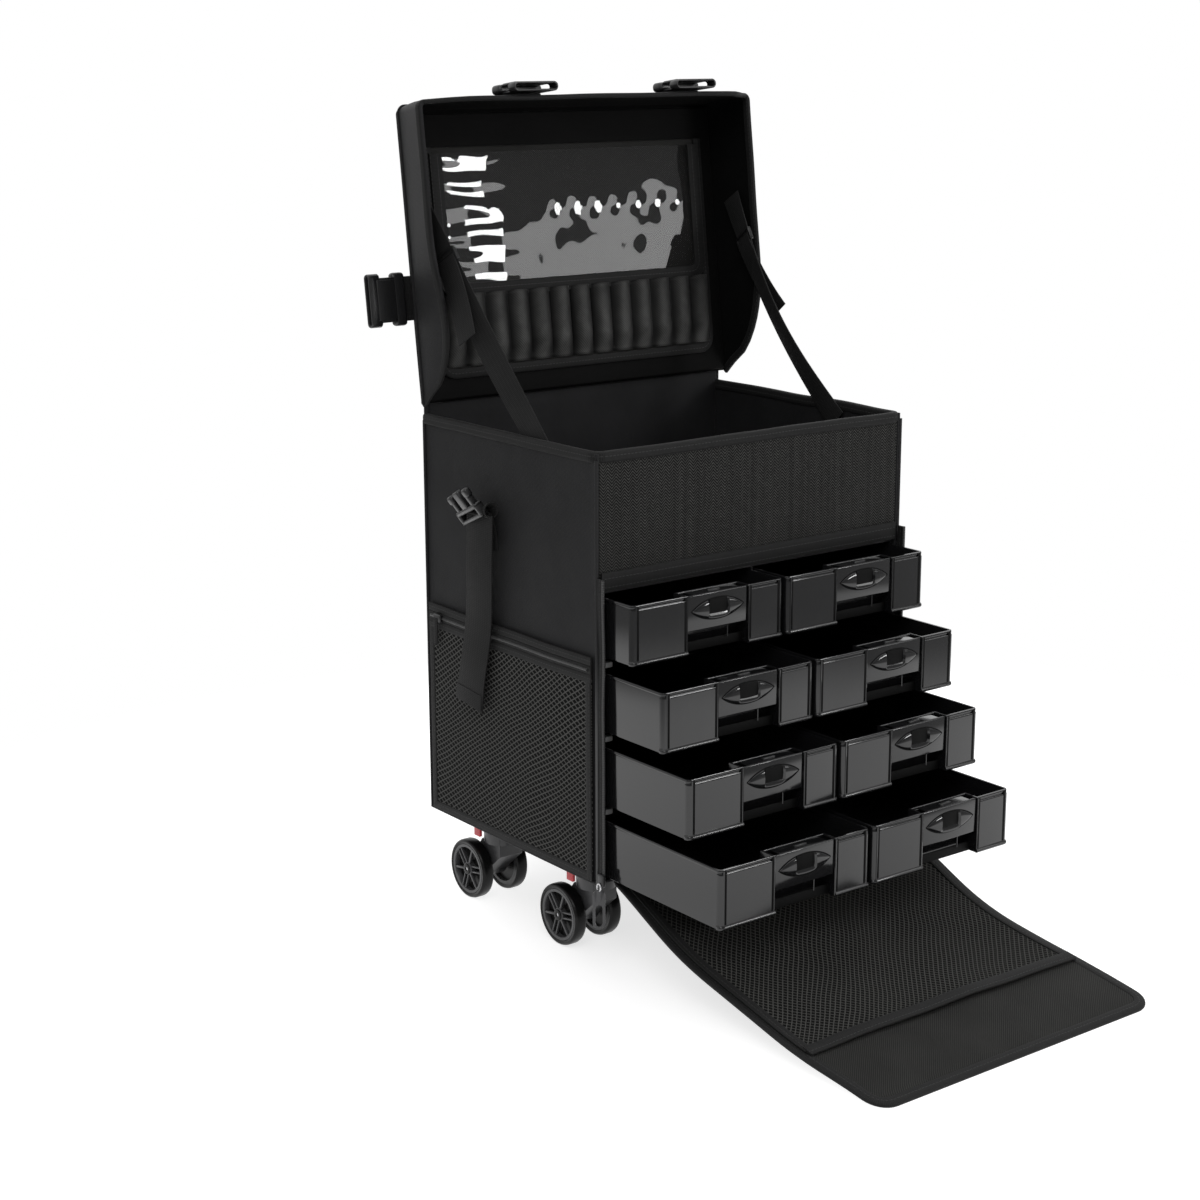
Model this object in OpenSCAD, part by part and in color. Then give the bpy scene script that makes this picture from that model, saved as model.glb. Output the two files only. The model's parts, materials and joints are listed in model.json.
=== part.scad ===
// Soft-sided rolling makeup case with eight drawers, standing open as in use:
// lid back, front flap down, drawers drawn out in steps, trolley handle pushed in.
// Millimetres, +Z up, front towards -Y. The origin lies on the floor, under the middle of the box.

/* [Body] */
// Width over the two side panels
body_w = 368; // [340:1:420]
// Depth from the front plane to the back plane
body_d = 275; // [255:1:310]
// Height of the fabric body, from the underside of its base to its rim
body_h = 400; // [392:1:450]
// Height of the base above the floor
base_clear = 89; // [82:1:105]
// Thickness of a padded wall
panel_t = 4; // [3:0.5:5]
// Thickness of the base board
base_t = 4; // [3:0.5:6]
// Height of the wall in front of the upper compartment
tray_wall_h = 126; // [100:1:134]
// Thickness of the tape bound over the rim
binding_t = 2.5; // [1.5:0.5:4]
// How far the zip tape stands in front of the side panels
zip_reach = 10; // [6:1:14]
// Thickness of the zip tape
zip_t = 1.5; // [1:0.25:2.5]

/* [Pockets and webbing] */
// Height of the mesh pocket on each side
pocket_h = 214; // [160:1:240]
// Thickness of a mesh pocket
mesh_t = 1.5; // [1:0.25:2.5]
// Width of the webbing straps
webbing_w = 42; // [30:1:46]
// Thickness of the webbing
webbing_t = 1.6; // [1:0.2:2.4]
// How far the side straps lie behind the middle of the case
side_strap_y = 32; // [10:1:50]
// Length of the side strap's hanging tail
side_tail = 190; // [120:5:220]
// Free length of the lid's side straps between the lid's edge and their buckles
side_free = 10; // [6:1:20]
// Sideways place of the two front straps
front_strap_x = 96; // [94:1:120]
// Width of a side-release buckle
buckle_w = 50; // [48:1:56]
// Thickness of a side-release buckle
buckle_t = 9; // [7:0.5:11]
// Length of a buckle's plug
plug_l = 32; // [24:1:38]
// Length of a buckle's socket
socket_l = 40; // [30:1:46]

/* [Drawers] */
// Height between a drawer and the shelf above it
row_gap = 11; // [8:0.5:18]
// Wall of a drawer
drawer_t = 2; // [1.6:0.2:3]
// Radius of a drawer's two front corners
drawer_r = 8; // [5:0.5:12]
// How far the top row is drawn out
row_1_out = 43; // [10:1:170]
// How far the second row is drawn out
row_2_out = 86; // [10:1:170]
// How far the third row is drawn out
row_3_out = 121; // [10:1:170]
// How far the bottom row is drawn out
row_4_out = 164; // [10:1:170]
// Width of the latch plate in a drawer front
latch_w = 70; // [56:1:76]
// How far the latch plate lies to the right of the drawer's middle
latch_shift = 10; // [0:1:14]
// Height of the latch plate
latch_h = 33; // [26:1:38]
// Depth of the finger recess behind the latch plate
recess_d = 15; // [12:0.5:20]
// Thickness of a cabinet shelf
shelf_t = 3; // [2:0.25:4]
// Thickness of the cabinet's sides and back
cabinet_t = 1.5; // [1:0.25:2.5]
// Thickness of the upright between the two columns of drawers
divider_t = 2.5; // [2:0.25:4]
// Drop of the guide rails below each shelf
rail_drop = 5.5; // [3:0.5:6]
// Width of the guide rails
rail_w = 6; // [4:0.5:9]

/* [Lid] */
// Lean of the open lid past upright, in degrees
lid_lean = 7; // [3:0.5:8]
// Thickness of the lid's top panel
lid_t = 8; // [6:0.5:10]
// Thickness of the lid's skirts
skirt_t = 4; // [3:0.5:5]
// Height of the front skirt
front_skirt_h = 95; // [80:1:105]
// Height of the side skirts
side_skirt_h = 70; // [60:1:78]
// Radius of the lid's front edge
lid_r = 16; // [8:1:17]
// Length over which a side skirt curves up to nothing at the hinge
skirt_curve = 100; // [60:1:120]
// Number of brush slots in the lid
brush_slots = 13; // [8:1:16]
// Width of the organiser in the lid
organiser_w = 330; // [280:1:340]
// Length of the organiser in the lid
organiser_l = 214; // [200:1:220]
// Width of the carry handle between its brackets
carry_w = 92; // [84:1:96]
// Diameter of the carry handle's bar
carry_d = 13; // [10:0.5:15]

/* [Front flap] */
// Width of the flap
flap_w = 336; // [300:1:350]
// How far the flap reaches in front of its hinge
flap_reach = 348; // [330:1:365]
// Thickness of the flap
flap_t = 3; // [2:0.5:4]
// Depth of the slack in the flap below a straight line
flap_slack = 20; // [0:1:24]
// Share of the flap's length that the mesh pocket covers
flap_pocket_share = 0.735; // [0.5:0.005:0.75]

/* [Casters] */
// Diameter of a wheel
wheel_d = 60; // [50:1:62]
// Width of a wheel
wheel_w = 13; // [10:0.5:16]
// Width of the fork between its two wheels
fork_w = 27; // [22:0.5:32]
// How far the wheels trail behind the swivel
trail = 25; // [18:0.5:28]
// Sideways place of the swivels from the middle
caster_x = 140; // [120:1:145]
// Lengthways place of the swivels from the middle
caster_y = 77; // [60:1:78]
// Diameter of the swivel stem
stem_d = 10; // [8:0.5:12]
// Diameter of the socket under the base
socket_d = 40; // [36:1:44]
// Height of the socket under the base
socket_h = 12; // [10:0.5:15]
// Diameter of the axle
axle_d = 6; // [5:0.5:8]

/* [Trolley handle] */
// Half of the distance between the handle's tubes
tube_x = 63; // [56:1:80]
// Width of an outer tube
tube_w = 18; // [16:0.5:22]
// Depth of an outer tube
tube_d = 13; // [12:0.5:16]
// Wall of each tube
tube_t = 1.2; // [1:0.1:1.4]
// Travel of each of the two stages
stage_travel = 245; // [200:5:255]
// Height of the grip
grip_h = 34; // [30:1:40]
// Depth of the grip
grip_d = 24; // [20:1:30]

/* [Hidden] */
$fn = 48;
SIDES = ["left", "right"];
ROWS = [1, 2, 3, 4];
ENDS = ["front", "rear"];
CORNERS = [for (e = ENDS, s = SIDES) str(e, "_", s)];

// Clearances
slide_gap = 1;        // beside a drawer
run_gap = 0.4;        // under a drawer, and between other moving faces
seat_gap = 0.2;       // between pieces that are fixed to each other
pin_gap = 0.05;       // round a stem, axle or pivot pin
press_gap = 0.01;     // round an axle pressed into its wheels
eps = 0.01;           // lets one cut pass through a face

// Heights
rim_z = base_clear + body_h;
floor_z = base_clear + base_t;
tray_z = rim_z - tray_wall_h;
hinge_z = rim_z + run_gap + lid_t;

// Depths
front_y = -body_d/2;
back_y = body_d/2;
hinge_y = back_y - panel_t - run_gap;

// Mesh side pockets
pocket_in = 6;
pocket_foot = 4;

// Drawer cabinet and drawers
cabinet_w = body_w - 2*panel_t - 2*seat_gap;
cabinet_front = front_y + panel_t + seat_gap;
cabinet_back = back_y - panel_t - seat_gap;
cabinet_top = tray_z - seat_gap;
drawer_w = (cabinet_w - 2*cabinet_t - divider_t)/2 - 2*slide_gap;
drawer_x = divider_t/2 + slide_gap + drawer_w/2;
drawer_set_back = 1;
drawer_back_room = 2;
drawer_closed_y = front_y + drawer_set_back;
drawer_l = cabinet_back - cabinet_t - drawer_back_room - drawer_closed_y;
first_shelf = floor_z + seat_gap;
top_room = 1.8;
rows_h = cabinet_top - shelf_t - top_room - first_shelf;
row_pitch = (rows_h + row_gap)/len(ROWS);
drawer_h = row_pitch - row_gap - shelf_t - run_gap;
row_out = [row_1_out, row_2_out, row_3_out, row_4_out];
function row_z(r) = first_shelf + shelf_t + run_gap + row_pitch*(len(ROWS) - r);
function side_sign(s) = s == "left" ? -1 : 1;
nub_h = 1.2;

// Lid, drawn closed about its hinge and then turned back
skirt_gap = 2;
front_gap = 4;
skirt_step = 45;
hem_steps = 6;
lid_arc_steps = 8;
lid_w = body_w + 2*(skirt_gap + skirt_t);
lid_l = hinge_y - front_y + front_gap + skirt_t;
lid_back = (lid_l - lid_r)*sin(lid_lean) + lid_r*(1 - cos(lid_lean)) - (back_y - hinge_y);
brush_l = 68;
organiser_from = 26;
organiser_t = 3;
clear_t = 1.2;
slot_in = 6;
page_in = 8;
page_top = 6;
page_above = 10;
plug_in = skirt_gap + skirt_t + 1.5;
plug_below = 52;
plug_to = rim_z - plug_below;
plug_from = plug_to - plug_l;
front_socket_top = socket_l - front_skirt_h - 6;
sewn_l = socket_l*0.4;
stub_l = 18;
stub_below = 12;
carry_at = 115;
carry_pin_d = 5;
carry_pin_h = 8;
carry_pin_l = 16;
carry_arm = 20;
bracket_w = 24;

// Front flap
flap_stand = 3.5;
flap_hinge_y = front_y - flap_stand;
flap_hinge_z = base_clear + 2;
flap_drop = flap_hinge_z - flap_t/2 - 1;
flap_steps = 14;
flap_hem = 6;
flap_seam = 0.03;
function flap_y(s) = flap_hinge_y - flap_reach*s;
function flap_z(s) = flap_hinge_z - flap_drop*s - flap_slack*pow(sin(180*pow(s, 0.85)), 1.5);
flap_plug_l = 24;
flap_plug_t = 7;
drawer_corner = norm([drawer_closed_y - row_1_out - flap_hinge_y, row_z(1) + drawer_h - flap_hinge_z]);
flap_plug_y = flap_hinge_y - sqrt(pow(drawer_corner + 3, 2) - pow(flap_hinge_z - 16, 2));

// Casters
axle_z = wheel_d/2;
collar_z = wheel_d + 2;
collar_top = base_clear - socket_h - run_gap;
wheel_gap = 0.6;
fork_front = 14;
fork_back = 17;
fork_brow = 12;
fork_boss_d = 24;
arm_half = 11;
arm_below = 4;
arm_above = 6;
wheel_x = fork_w/2 + wheel_gap + wheel_w/2;
release_w = 10;
release_h = 4.5;
release_l = 8;
release_travel = 1.5;
release_out = 8;
release_head = 3;
release_below = 4;
release_top = 3;

// Trolley handle
tube_y = back_y + max(6, lid_back + webbing_t + 1.5) + tube_d/2;
stage_gap = 0.3;
middle_w = tube_w - 2*tube_t - 2*stage_gap;
middle_d = tube_d - 2*tube_t - 2*stage_gap;
top_w = middle_w - 2*tube_t - 2*stage_gap;
top_d = middle_d - 2*tube_t - 2*stage_gap;
outer_above = 8;
outer_below = 12;
outer_from = base_clear + outer_above;
outer_to = rim_z - outer_below;
tube_foot = 25;
stage_l = outer_to - outer_from - tube_foot;
snap_d = 6;
snap_up = 20;
function snap_z(top) = top - stage_l + snap_up + stage_travel;
collar_h = 10;
grip_from = outer_to + run_gap + collar_h + run_gap;
grip_leg = tube_w + 4;
grip_y = tube_y + (grip_d - tube_d)/2;
grip_bar = 18;
button_w = 30;
button_d = 10;
button_travel = 3;
button_floor = 3;
button_proud = 1.5;
bracket_h = 28;
housing_wall = 5;
housing_r = 8;

// The origin stands under the middle of the whole box
case_y = -(flap_y(1) + max(grip_y + grip_d/2, tube_y + tube_d/2 + housing_wall))/2;

black_cloth = "#1b1b1d";
black_web = "#232326";
mesh_cloth = "#2a2a2c";
gloss_black = "#101012";
matt_black = "#18181a";

// Shared shapes
module place() translate([0, case_y, 0]) children();
module both_sides() {
    children();
    mirror([1, 0, 0]) children();
}
module block(from, to) translate(from) cube(to - from);
module bar_x(d, from, to) translate([from, 0, 0]) rotate([0, 90, 0]) cylinder(d = d, h = to - from);
module on_lid() place() translate([0, hinge_y, hinge_z]) rotate([-90 - lid_lean, 0, 0]) children();
module along_x(width) translate([-width/2, 0, 0]) rotate([90, 0, 90]) linear_extrude(width) children();
function arc(cx, cy, r, a0, a1, n) = [for (i = [0:n]) [cx + r*cos(a0 + (a1 - a0)*i/n),
                                                       cy + r*sin(a0 + (a1 - a0)*i/n)]];

// Body panels
module side_panel(s) color(black_cloth) place()
    translate([side_sign(s)*(body_w - panel_t)/2, 0, 0])
        block([-panel_t/2, front_y, floor_z], [panel_t/2, back_y, rim_z - binding_t]);

module back_panel() color(black_cloth) place()
    block([-body_w/2 + panel_t, back_y - panel_t, floor_z], [body_w/2 - panel_t, back_y, hinge_z]);

module base_panel() color(black_cloth) place()
    block([-body_w/2, front_y, base_clear], [body_w/2, back_y, floor_z]);

module upper_front_panel() color(black_cloth) place()
    block([-body_w/2 + panel_t, front_y, tray_z], [body_w/2 - panel_t, front_y + panel_t, rim_z - binding_t]);

module edge_binding() color(black_web) place() {
    tape_top = rim_z - front_skirt_h - lid_t - zip_reach;
    block([-body_w/2, front_y, rim_z - binding_t], [body_w/2, front_y + panel_t, rim_z]);
    both_sides() {
        block([body_w/2 - panel_t, front_y + panel_t, rim_z - binding_t], [body_w/2, back_y, rim_z]);
        block([body_w/2 - zip_t, front_y - zip_reach, base_clear], [body_w/2, front_y, tape_top]);
        block([body_w/2 - zip_t, front_y - zip_t, tape_top], [body_w/2, front_y, rim_z - binding_t/2]);
    }
}

// Drawer cabinet: shelves, back, sides, the upright, and guide rails under each shelf
module drawer_cabinet() color(matt_black) place() {
    inner = cabinet_w/2 - cabinet_t;
    inside_back = cabinet_back - cabinet_t;
    both_sides() block([inner, cabinet_front, first_shelf], [cabinet_w/2, cabinet_back, cabinet_top]);
    block([-inner, inside_back, first_shelf], [inner, cabinet_back, cabinet_top]);
    block([-divider_t/2, cabinet_front, first_shelf], [divider_t/2, inside_back, cabinet_top]);
    block([-inner, cabinet_front, cabinet_top - shelf_t], [inner, inside_back, cabinet_top]);
    for (r = ROWS) {
        shelf_z = row_z(r) - run_gap;
        block([-inner, cabinet_front, shelf_z - shelf_t], [inner, inside_back, shelf_z]);
        if (r < len(ROWS)) both_sides()
            block([inner - rail_w, cabinet_front, shelf_z - shelf_t - rail_drop],
                  [inner, inside_back, shelf_z - shelf_t]);
    }
}

// Mesh pocket on each side
module side_pockets() color(mesh_cloth) place() both_sides()
    block([body_w/2, front_y + pocket_in, base_clear + pocket_foot],
          [body_w/2 + mesh_t, back_y - pocket_in, base_clear + pocket_h]);

// A sewn stub, a loop past the skirt and a hanging tail on each side
module side_straps() color(black_web) place() both_sides() translate([body_w/2, side_strap_y, 0]) {
    block([0, -webbing_w/2, plug_from - stub_below - stub_l], [plug_in, webbing_w/2, plug_from - stub_below]);
    block([plug_in, -webbing_w/2, plug_from - side_tail],
          [plug_in + webbing_t, webbing_w/2, plug_from - seat_gap]);
}

// Plug of a side-release buckle: a web bar, a middle guide and two prongs, standing up along +Z
module buckle_plug(l, t) {
    bar_l = l*0.45;
    prong = buckle_w*0.16;
    prong_in = 3;
    block([0, -buckle_w/2, 0], [t, buckle_w/2, bar_l]);
    block([t*0.25, -prong/2, bar_l], [t*0.75, prong/2, l*0.85]);
    for (m = [0, 1]) mirror([0, m, 0])
        block([t*0.15, buckle_w/2 - prong - prong_in, bar_l], [t*0.85, buckle_w/2 - prong_in, l]);
}
module side_buckle_plugs() color(matt_black) place() both_sides()
    translate([body_w/2 + plug_in, side_strap_y, plug_from]) buckle_plug(plug_l, buckle_t);

// Trolley: two brackets on the back hold the outer tubes
module housing_block(z, h) {
    half = tube_x + tube_w/2 + housing_wall;
    rear = tube_y + tube_d/2 + housing_wall;
    block([-half, back_y, z], [half, rear - housing_r, z + h]);
    block([-half + housing_r, rear - housing_r, z], [half - housing_r, rear, z + h]);
    both_sides() translate([half - housing_r, rear - housing_r, z]) cylinder(r = housing_r, h = h);
}
module tube_pair(w, d, t, from, to) both_sides() translate([tube_x, tube_y, from]) difference() {
    translate([-w/2, -d/2, 0]) cube([w, d, to - from]);
    translate([-w/2 + t, -d/2 + t, -eps]) cube([w - 2*t, d - 2*t, to - from + 2*eps]);
}
module tube_holes(w, d, from, to) both_sides() translate([tube_x, tube_y, from])
    translate([-w/2, -d/2, 0]) cube([w, d, to - from]);
module trolley_housing() color(matt_black) place() difference() {
    union() {
        housing_block(base_clear, bracket_h);
        housing_block(outer_to - bracket_h, bracket_h);
    }
    tube_holes(tube_w + 2*seat_gap, tube_d + 2*seat_gap, outer_from, outer_to + eps);
}
module snap_holes(d, z) both_sides() translate([tube_x, tube_y, z]) rotate([90, 0, 0])
    cylinder(d = snap_d, h = d);
module trolley_outer_tubes() color(gloss_black) place() difference() {
    tube_pair(tube_w, tube_d, tube_t, outer_from, outer_to);
    snap_holes(tube_d, snap_z(outer_to));
}
module handle_middle_tubes() color(gloss_black) place() {
    difference() {
        tube_pair(middle_w, middle_d, tube_t, outer_to - stage_l, outer_to + run_gap);
        snap_holes(middle_d, snap_z(grip_from));
    }
    difference() {
        tube_holes(tube_w, tube_d, outer_to + run_gap, outer_to + run_gap + collar_h);
        tube_holes(top_w + 2*stage_gap, top_d + 2*stage_gap, outer_to, outer_to + 2*collar_h);
    }
}
module handle_top_tubes() color(gloss_black) place()
    tube_pair(top_w, top_d, tube_t, grip_from - stage_l, grip_from);
module handle_grip() color(matt_black) place() translate([0, grip_y, grip_from]) {
    half = tube_x + grip_leg/2;
    difference() {
        union() {
            block([-half, -grip_d/2, grip_h - grip_bar], [half, grip_d/2, grip_h - grip_d/2]);
            translate([0, 0, grip_h - grip_d/2]) bar_x(grip_d, -half, half);
            both_sides() block([tube_x - grip_leg/2, -grip_d/2, 0], [half, grip_d/2, grip_h - grip_bar]);
        }
        block([-button_w/2 - run_gap, -button_d/2 - run_gap, grip_h - grip_bar + button_floor],
              [button_w/2 + run_gap, button_d/2 + run_gap, grip_h + eps]);
    }
}
module handle_button() color(gloss_black) place() translate([0, grip_y, grip_from])
    block([-button_w/2, -button_d/2, grip_h - grip_bar + button_floor + button_travel + run_gap],
          [button_w/2, button_d/2, grip_h + button_proud]);

// Casters
module at_caster(e, s) place() translate([side_sign(s)*caster_x, e == "front" ? -caster_y : caster_y, 0])
    mirror([s == "left" ? 1 : 0, 0, 0]) children();
module caster_sockets() color(matt_black) for (e = ENDS, s = SIDES) at_caster(e, s) difference() {
    translate([0, 0, base_clear - socket_h]) cylinder(d = socket_d, h = socket_h);
    translate([0, 0, base_clear - socket_h - eps]) cylinder(d = stem_d + 2*pin_gap, h = socket_h + 2*eps);
    translate([0, 0, base_clear - socket_h/2])
        block([socket_d/2 - release_l - release_travel, -release_w/2 - run_gap, -release_h/2 - run_gap],
              [socket_d, release_w/2 + run_gap, release_h/2 + run_gap]);
}
module caster_release(e, s) color("#c8202c") at_caster(e, s) translate([socket_d/2, 0, base_clear]) {
    translate([0, 0, -socket_h/2])
        block([run_gap - release_l, -release_w/2, -release_h/2],
              [release_out + eps, release_w/2, release_h/2]);
    block([release_out, -release_w/2, -socket_h - release_below],
          [release_out + release_head, release_w/2, -release_top]);
}
module caster_fork(e, s) color(matt_black) at_caster(e, s) difference() {
    union() {
        translate([0, 0, collar_z]) cylinder(d = socket_d - 2, h = collar_top - collar_z);
        translate([0, 0, collar_top - eps]) cylinder(d = stem_d, h = socket_h + run_gap - 0.4);
        along_x(fork_w) polygon([
            [-fork_front, collar_z + eps], [-fork_front, collar_z - fork_brow],
            [trail - arm_half, axle_z - arm_below], [trail + arm_half, axle_z - arm_below],
            [trail + arm_half, axle_z + arm_above], [fork_back, collar_z + eps]]);
        translate([0, trail, axle_z]) bar_x(fork_boss_d, -fork_w/2, fork_w/2);
    }
    translate([0, trail, axle_z]) bar_x(axle_d + 2*pin_gap, -fork_w, fork_w);
}
module wheel() {
    spokes = 6;
    spoke_w = 5;
    hub_r = axle_d/2 + 4;
    rim_r = wheel_d/2 - 7;
    dish = wheel_w*0.35;
    difference() {
        bar_x(wheel_d, -wheel_w/2, wheel_w/2);
        bar_x(axle_d + 2*press_gap, -wheel_w, wheel_w);
        difference() {
            bar_x(2*rim_r, wheel_w/2 - dish, wheel_w);
            bar_x(2*hub_r, 0, wheel_w);
            for (i = [0:spokes - 1]) rotate([360*i/spokes, 0, 0])
                block([0, -spoke_w/2, 0], [wheel_w, spoke_w/2, wheel_d]);
        }
    }
}
module caster_wheels(e, s) color(gloss_black) at_caster(e, s) translate([0, trail, axle_z])
    both_sides() translate([wheel_x, 0, 0]) wheel();
module caster_axle(e, s) color("silver") at_caster(e, s) translate([0, trail, axle_z])
    bar_x(axle_d, -wheel_x - wheel_w/2, wheel_x + wheel_w/2);

// Drawers, drawn about the middle of the front face at the drawer's bottom
module at_drawer(s, r) place()
    translate([side_sign(s)*drawer_x, drawer_closed_y - row_out[r - 1], row_z(r)]) children();
module at_latch() translate([latch_shift, 0, 0]) children();
module drawer_plan(inset, h, back) {
    half = drawer_w/2 - inset;
    r = drawer_r - inset;
    block([-half, drawer_r, 0], [half, back, h]);
    block([-half + r, inset, 0], [half - r, drawer_r + eps, h]);
    both_sides() translate([half - r, drawer_r, 0]) cylinder(r = r, h = h);
}
module drawer(s, r) color(gloss_black) at_drawer(s, r) difference() {
    union() {
        difference() {
            drawer_plan(0, drawer_h, drawer_l);
            translate([0, 0, drawer_t]) drawer_plan(drawer_t, drawer_h, drawer_l - drawer_t);
        }
        at_latch() block([-latch_w/2 - drawer_t, drawer_t/2, 0],
                         [latch_w/2 + drawer_t, recess_d + drawer_t, drawer_h]);
    }
    at_latch() block([-latch_w/2, -1, drawer_t], [latch_w/2, recess_d, drawer_h + 1]);
}

// Latch: a plate with an almond pull in the drawer front, a tab over the recess and a catch nub
module almond(l, h) intersection() {
    r = (l*l/4 + h*h/4)/h;
    translate([0, h/2 - r, 0]) circle(r = r);
    translate([0, r - h/2, 0]) circle(r = r);
}
module latch(s, r) color(gloss_black) at_drawer(s, r) at_latch() {
    half = latch_w/2 - run_gap;
    top = drawer_h - 0.5;
    plate_in = 0.5;
    plate_t = 2.5;
    tab_t = 1.8;
    nub_w = 14;
    nub_from = 6;
    nub_to = 9;
    pull_out = 2.6;
    pull_w = latch_w*0.82;
    pull_h = latch_h*0.46;
    block([-half, plate_in, top - latch_h], [half, plate_in + plate_t, top]);
    block([-half*0.8, plate_in + plate_t, top - tab_t], [half*0.8, recess_d - run_gap, top]);
    block([-nub_w/2, nub_from, top], [nub_w/2, nub_to, top + nub_h]);
    difference() {
        translate([0, plate_in + eps, top - latch_h*0.46]) rotate([90, 0, 0])
            linear_extrude(pull_out) almond(pull_w, pull_h);
        block([-pull_w*0.17, -pull_out*2, top - latch_h*0.7],
              [pull_w*0.17, -pull_out + 1.4, top - latch_h*0.2]);
    }
}

// Lid: d runs from the hinge to the front, h runs down from the top, both when it is closed
module lid_side_outline() polygon(concat(
    [[0, 0]],
    arc(lid_r - lid_l, -lid_r, lid_r, 90, 180, lid_arc_steps),
    [[-lid_l, -side_skirt_h]],
    [for (i = [0:6]) [-lid_t - skirt_curve*(1 - sin(15*i)), -lid_t - (side_skirt_h - lid_t)*cos(15*i)]],
    [[0, -lid_t]]));
module lid_profile() polygon(concat(
    [[0, 0]],
    arc(lid_r - lid_l, -lid_r, lid_r, 90, 180, lid_arc_steps),
    [[-lid_l, -front_skirt_h], [skirt_t - lid_l, -front_skirt_h]],
    arc(lid_r - lid_l, -lid_r, lid_r - skirt_t, 180, 90, lid_arc_steps),
    [[lid_r - lid_l, -lid_t], [0, -lid_t]]));
// Where the front skirt's hem rises to the side skirts at the lid's front corners
module hem_corner() translate([lid_w/2 - skirt_step, skirt_t - lid_l + eps, -side_skirt_h])
    rotate([90, 0, 0]) linear_extrude(skirt_t + 2*eps) polygon(concat(
        [for (i = [0:hem_steps]) [skirt_step*i/hem_steps,
                                  (side_skirt_h - front_skirt_h)*(1 + cos(180*i/hem_steps))/2]],
        [[skirt_step, side_skirt_h - front_skirt_h - 1], [0, side_skirt_h - front_skirt_h - 1]]));
module edge_round(r, t, width) translate([0, lid_r - lid_l, -lid_r]) intersection() {
    difference() {
        bar_x(2*r, -width/2, width/2);
        bar_x(2*(r - t), -width, width);
    }
    block([-width, -2*lid_l, 0], [width, 0, 2*lid_l]);
}
module lid_shell() color(black_cloth) on_lid() {
    difference() {
        along_x(lid_w - 2*skirt_t) lid_profile();
        both_sides() hem_corner();
    }
    both_sides() translate([lid_w/2 - skirt_t, 0, 0]) rotate([90, 0, 90])
        linear_extrude(skirt_t) lid_side_outline();
}
module lid_organiser() color(black_cloth) on_lid() translate([0, -organiser_from, -lid_t]) {
    pitch = organiser_w/brush_slots;
    slot_d = pitch - 1;
    block([-organiser_w/2, -organiser_l, -organiser_t], [organiser_w/2, 0, 0]);
    for (i = [0:brush_slots - 1]) translate([-organiser_w/2 + pitch*(i + 0.5), -slot_in, -organiser_t])
        intersection() {
            rotate([90, 0, 0]) cylinder(d = slot_d, h = brush_l);
            block([-slot_d, -organiser_l, -slot_d*0.32], [slot_d, 0, organiser_t/2]);
        }
}
module lid_clear_pocket() color("#8f9394", 0.6) on_lid()
    translate([0, -organiser_from, -lid_t - organiser_t])
        block([-organiser_w/2 + page_in, page_top - organiser_l, -clear_t],
              [organiser_w/2 - page_in, -brush_l - page_above, 0]);
module lid_straps() color(black_web) on_lid() {
    both_sides() {
        translate([front_strap_x, 0, 0]) {
            block([-webbing_w/2, lid_r - lid_l, 0], [webbing_w/2, -4, webbing_t]);
            edge_round(lid_r + webbing_t, webbing_t, webbing_w);
            block([-webbing_w/2, -lid_l - webbing_t, front_socket_top - sewn_l],
                  [webbing_w/2, -lid_l, -lid_r]);
        }
        translate([0, side_strap_y - hinge_y, 0])
            block([front_strap_x + webbing_w/2 + seat_gap, -webbing_w/2, 0],
                  [lid_w/2 + side_free + sewn_l, webbing_w/2, webbing_t]);
    }
}
// Socket of a side-release buckle: a flat sleeve open at its mouth, hanging along -Z
module buckle_socket() {
    wall = 1.5;
    side_wall = 3;
    web_end = 8;
    window_in = 4;
    difference() {
        block([0, -buckle_w/2, -socket_l], [buckle_t, buckle_w/2, 0]);
        block([wall, -buckle_w/2 + side_wall, -socket_l - eps],
              [buckle_t - wall, buckle_w/2 - side_wall, -web_end]);
        for (m = [0, 1]) mirror([0, m, 0])
            block([-eps, buckle_w/2 - window_in, -socket_l*0.72], [buckle_t + eps, buckle_w, -socket_l*0.34]);
    }
}
module lid_buckle_sockets() color(matt_black) on_lid() both_sides() {
    translate([front_strap_x, -lid_l - webbing_t, front_socket_top]) rotate([0, 0, -90]) buckle_socket();
    translate([lid_w/2 + side_free, side_strap_y - hinge_y, 0]) rotate([0, 90, 180]) buckle_socket();
}

// Webbing stays from the inside of the rim to the inside of the lid's skirts
stay_w = 25;
stay_forward = 56;
stay_below = 20;
stay_low = [body_w/2 - panel_t - webbing_t - 1, -stay_forward, rim_z - stay_below];
stay_at = 172;
stay_in = 38;
stay_high = [lid_w/2 - skirt_t - webbing_t - 0.6,
             hinge_y + stay_at*sin(lid_lean) - stay_in*cos(lid_lean),
             hinge_z + stay_at*cos(lid_lean) + stay_in*sin(lid_lean)];
module lid_stays() color(black_web) place() both_sides() {
    run = stay_high - stay_low;
    rise = norm(run);
    tilt = atan2(-run[1], norm([run[0], run[2]]));
    translate(stay_low) rotate([tilt, atan2(run[0], run[2]), 0])
        block([0, -stay_w/2, 0], [webbing_t, stay_w/2, rise]);
}

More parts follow.
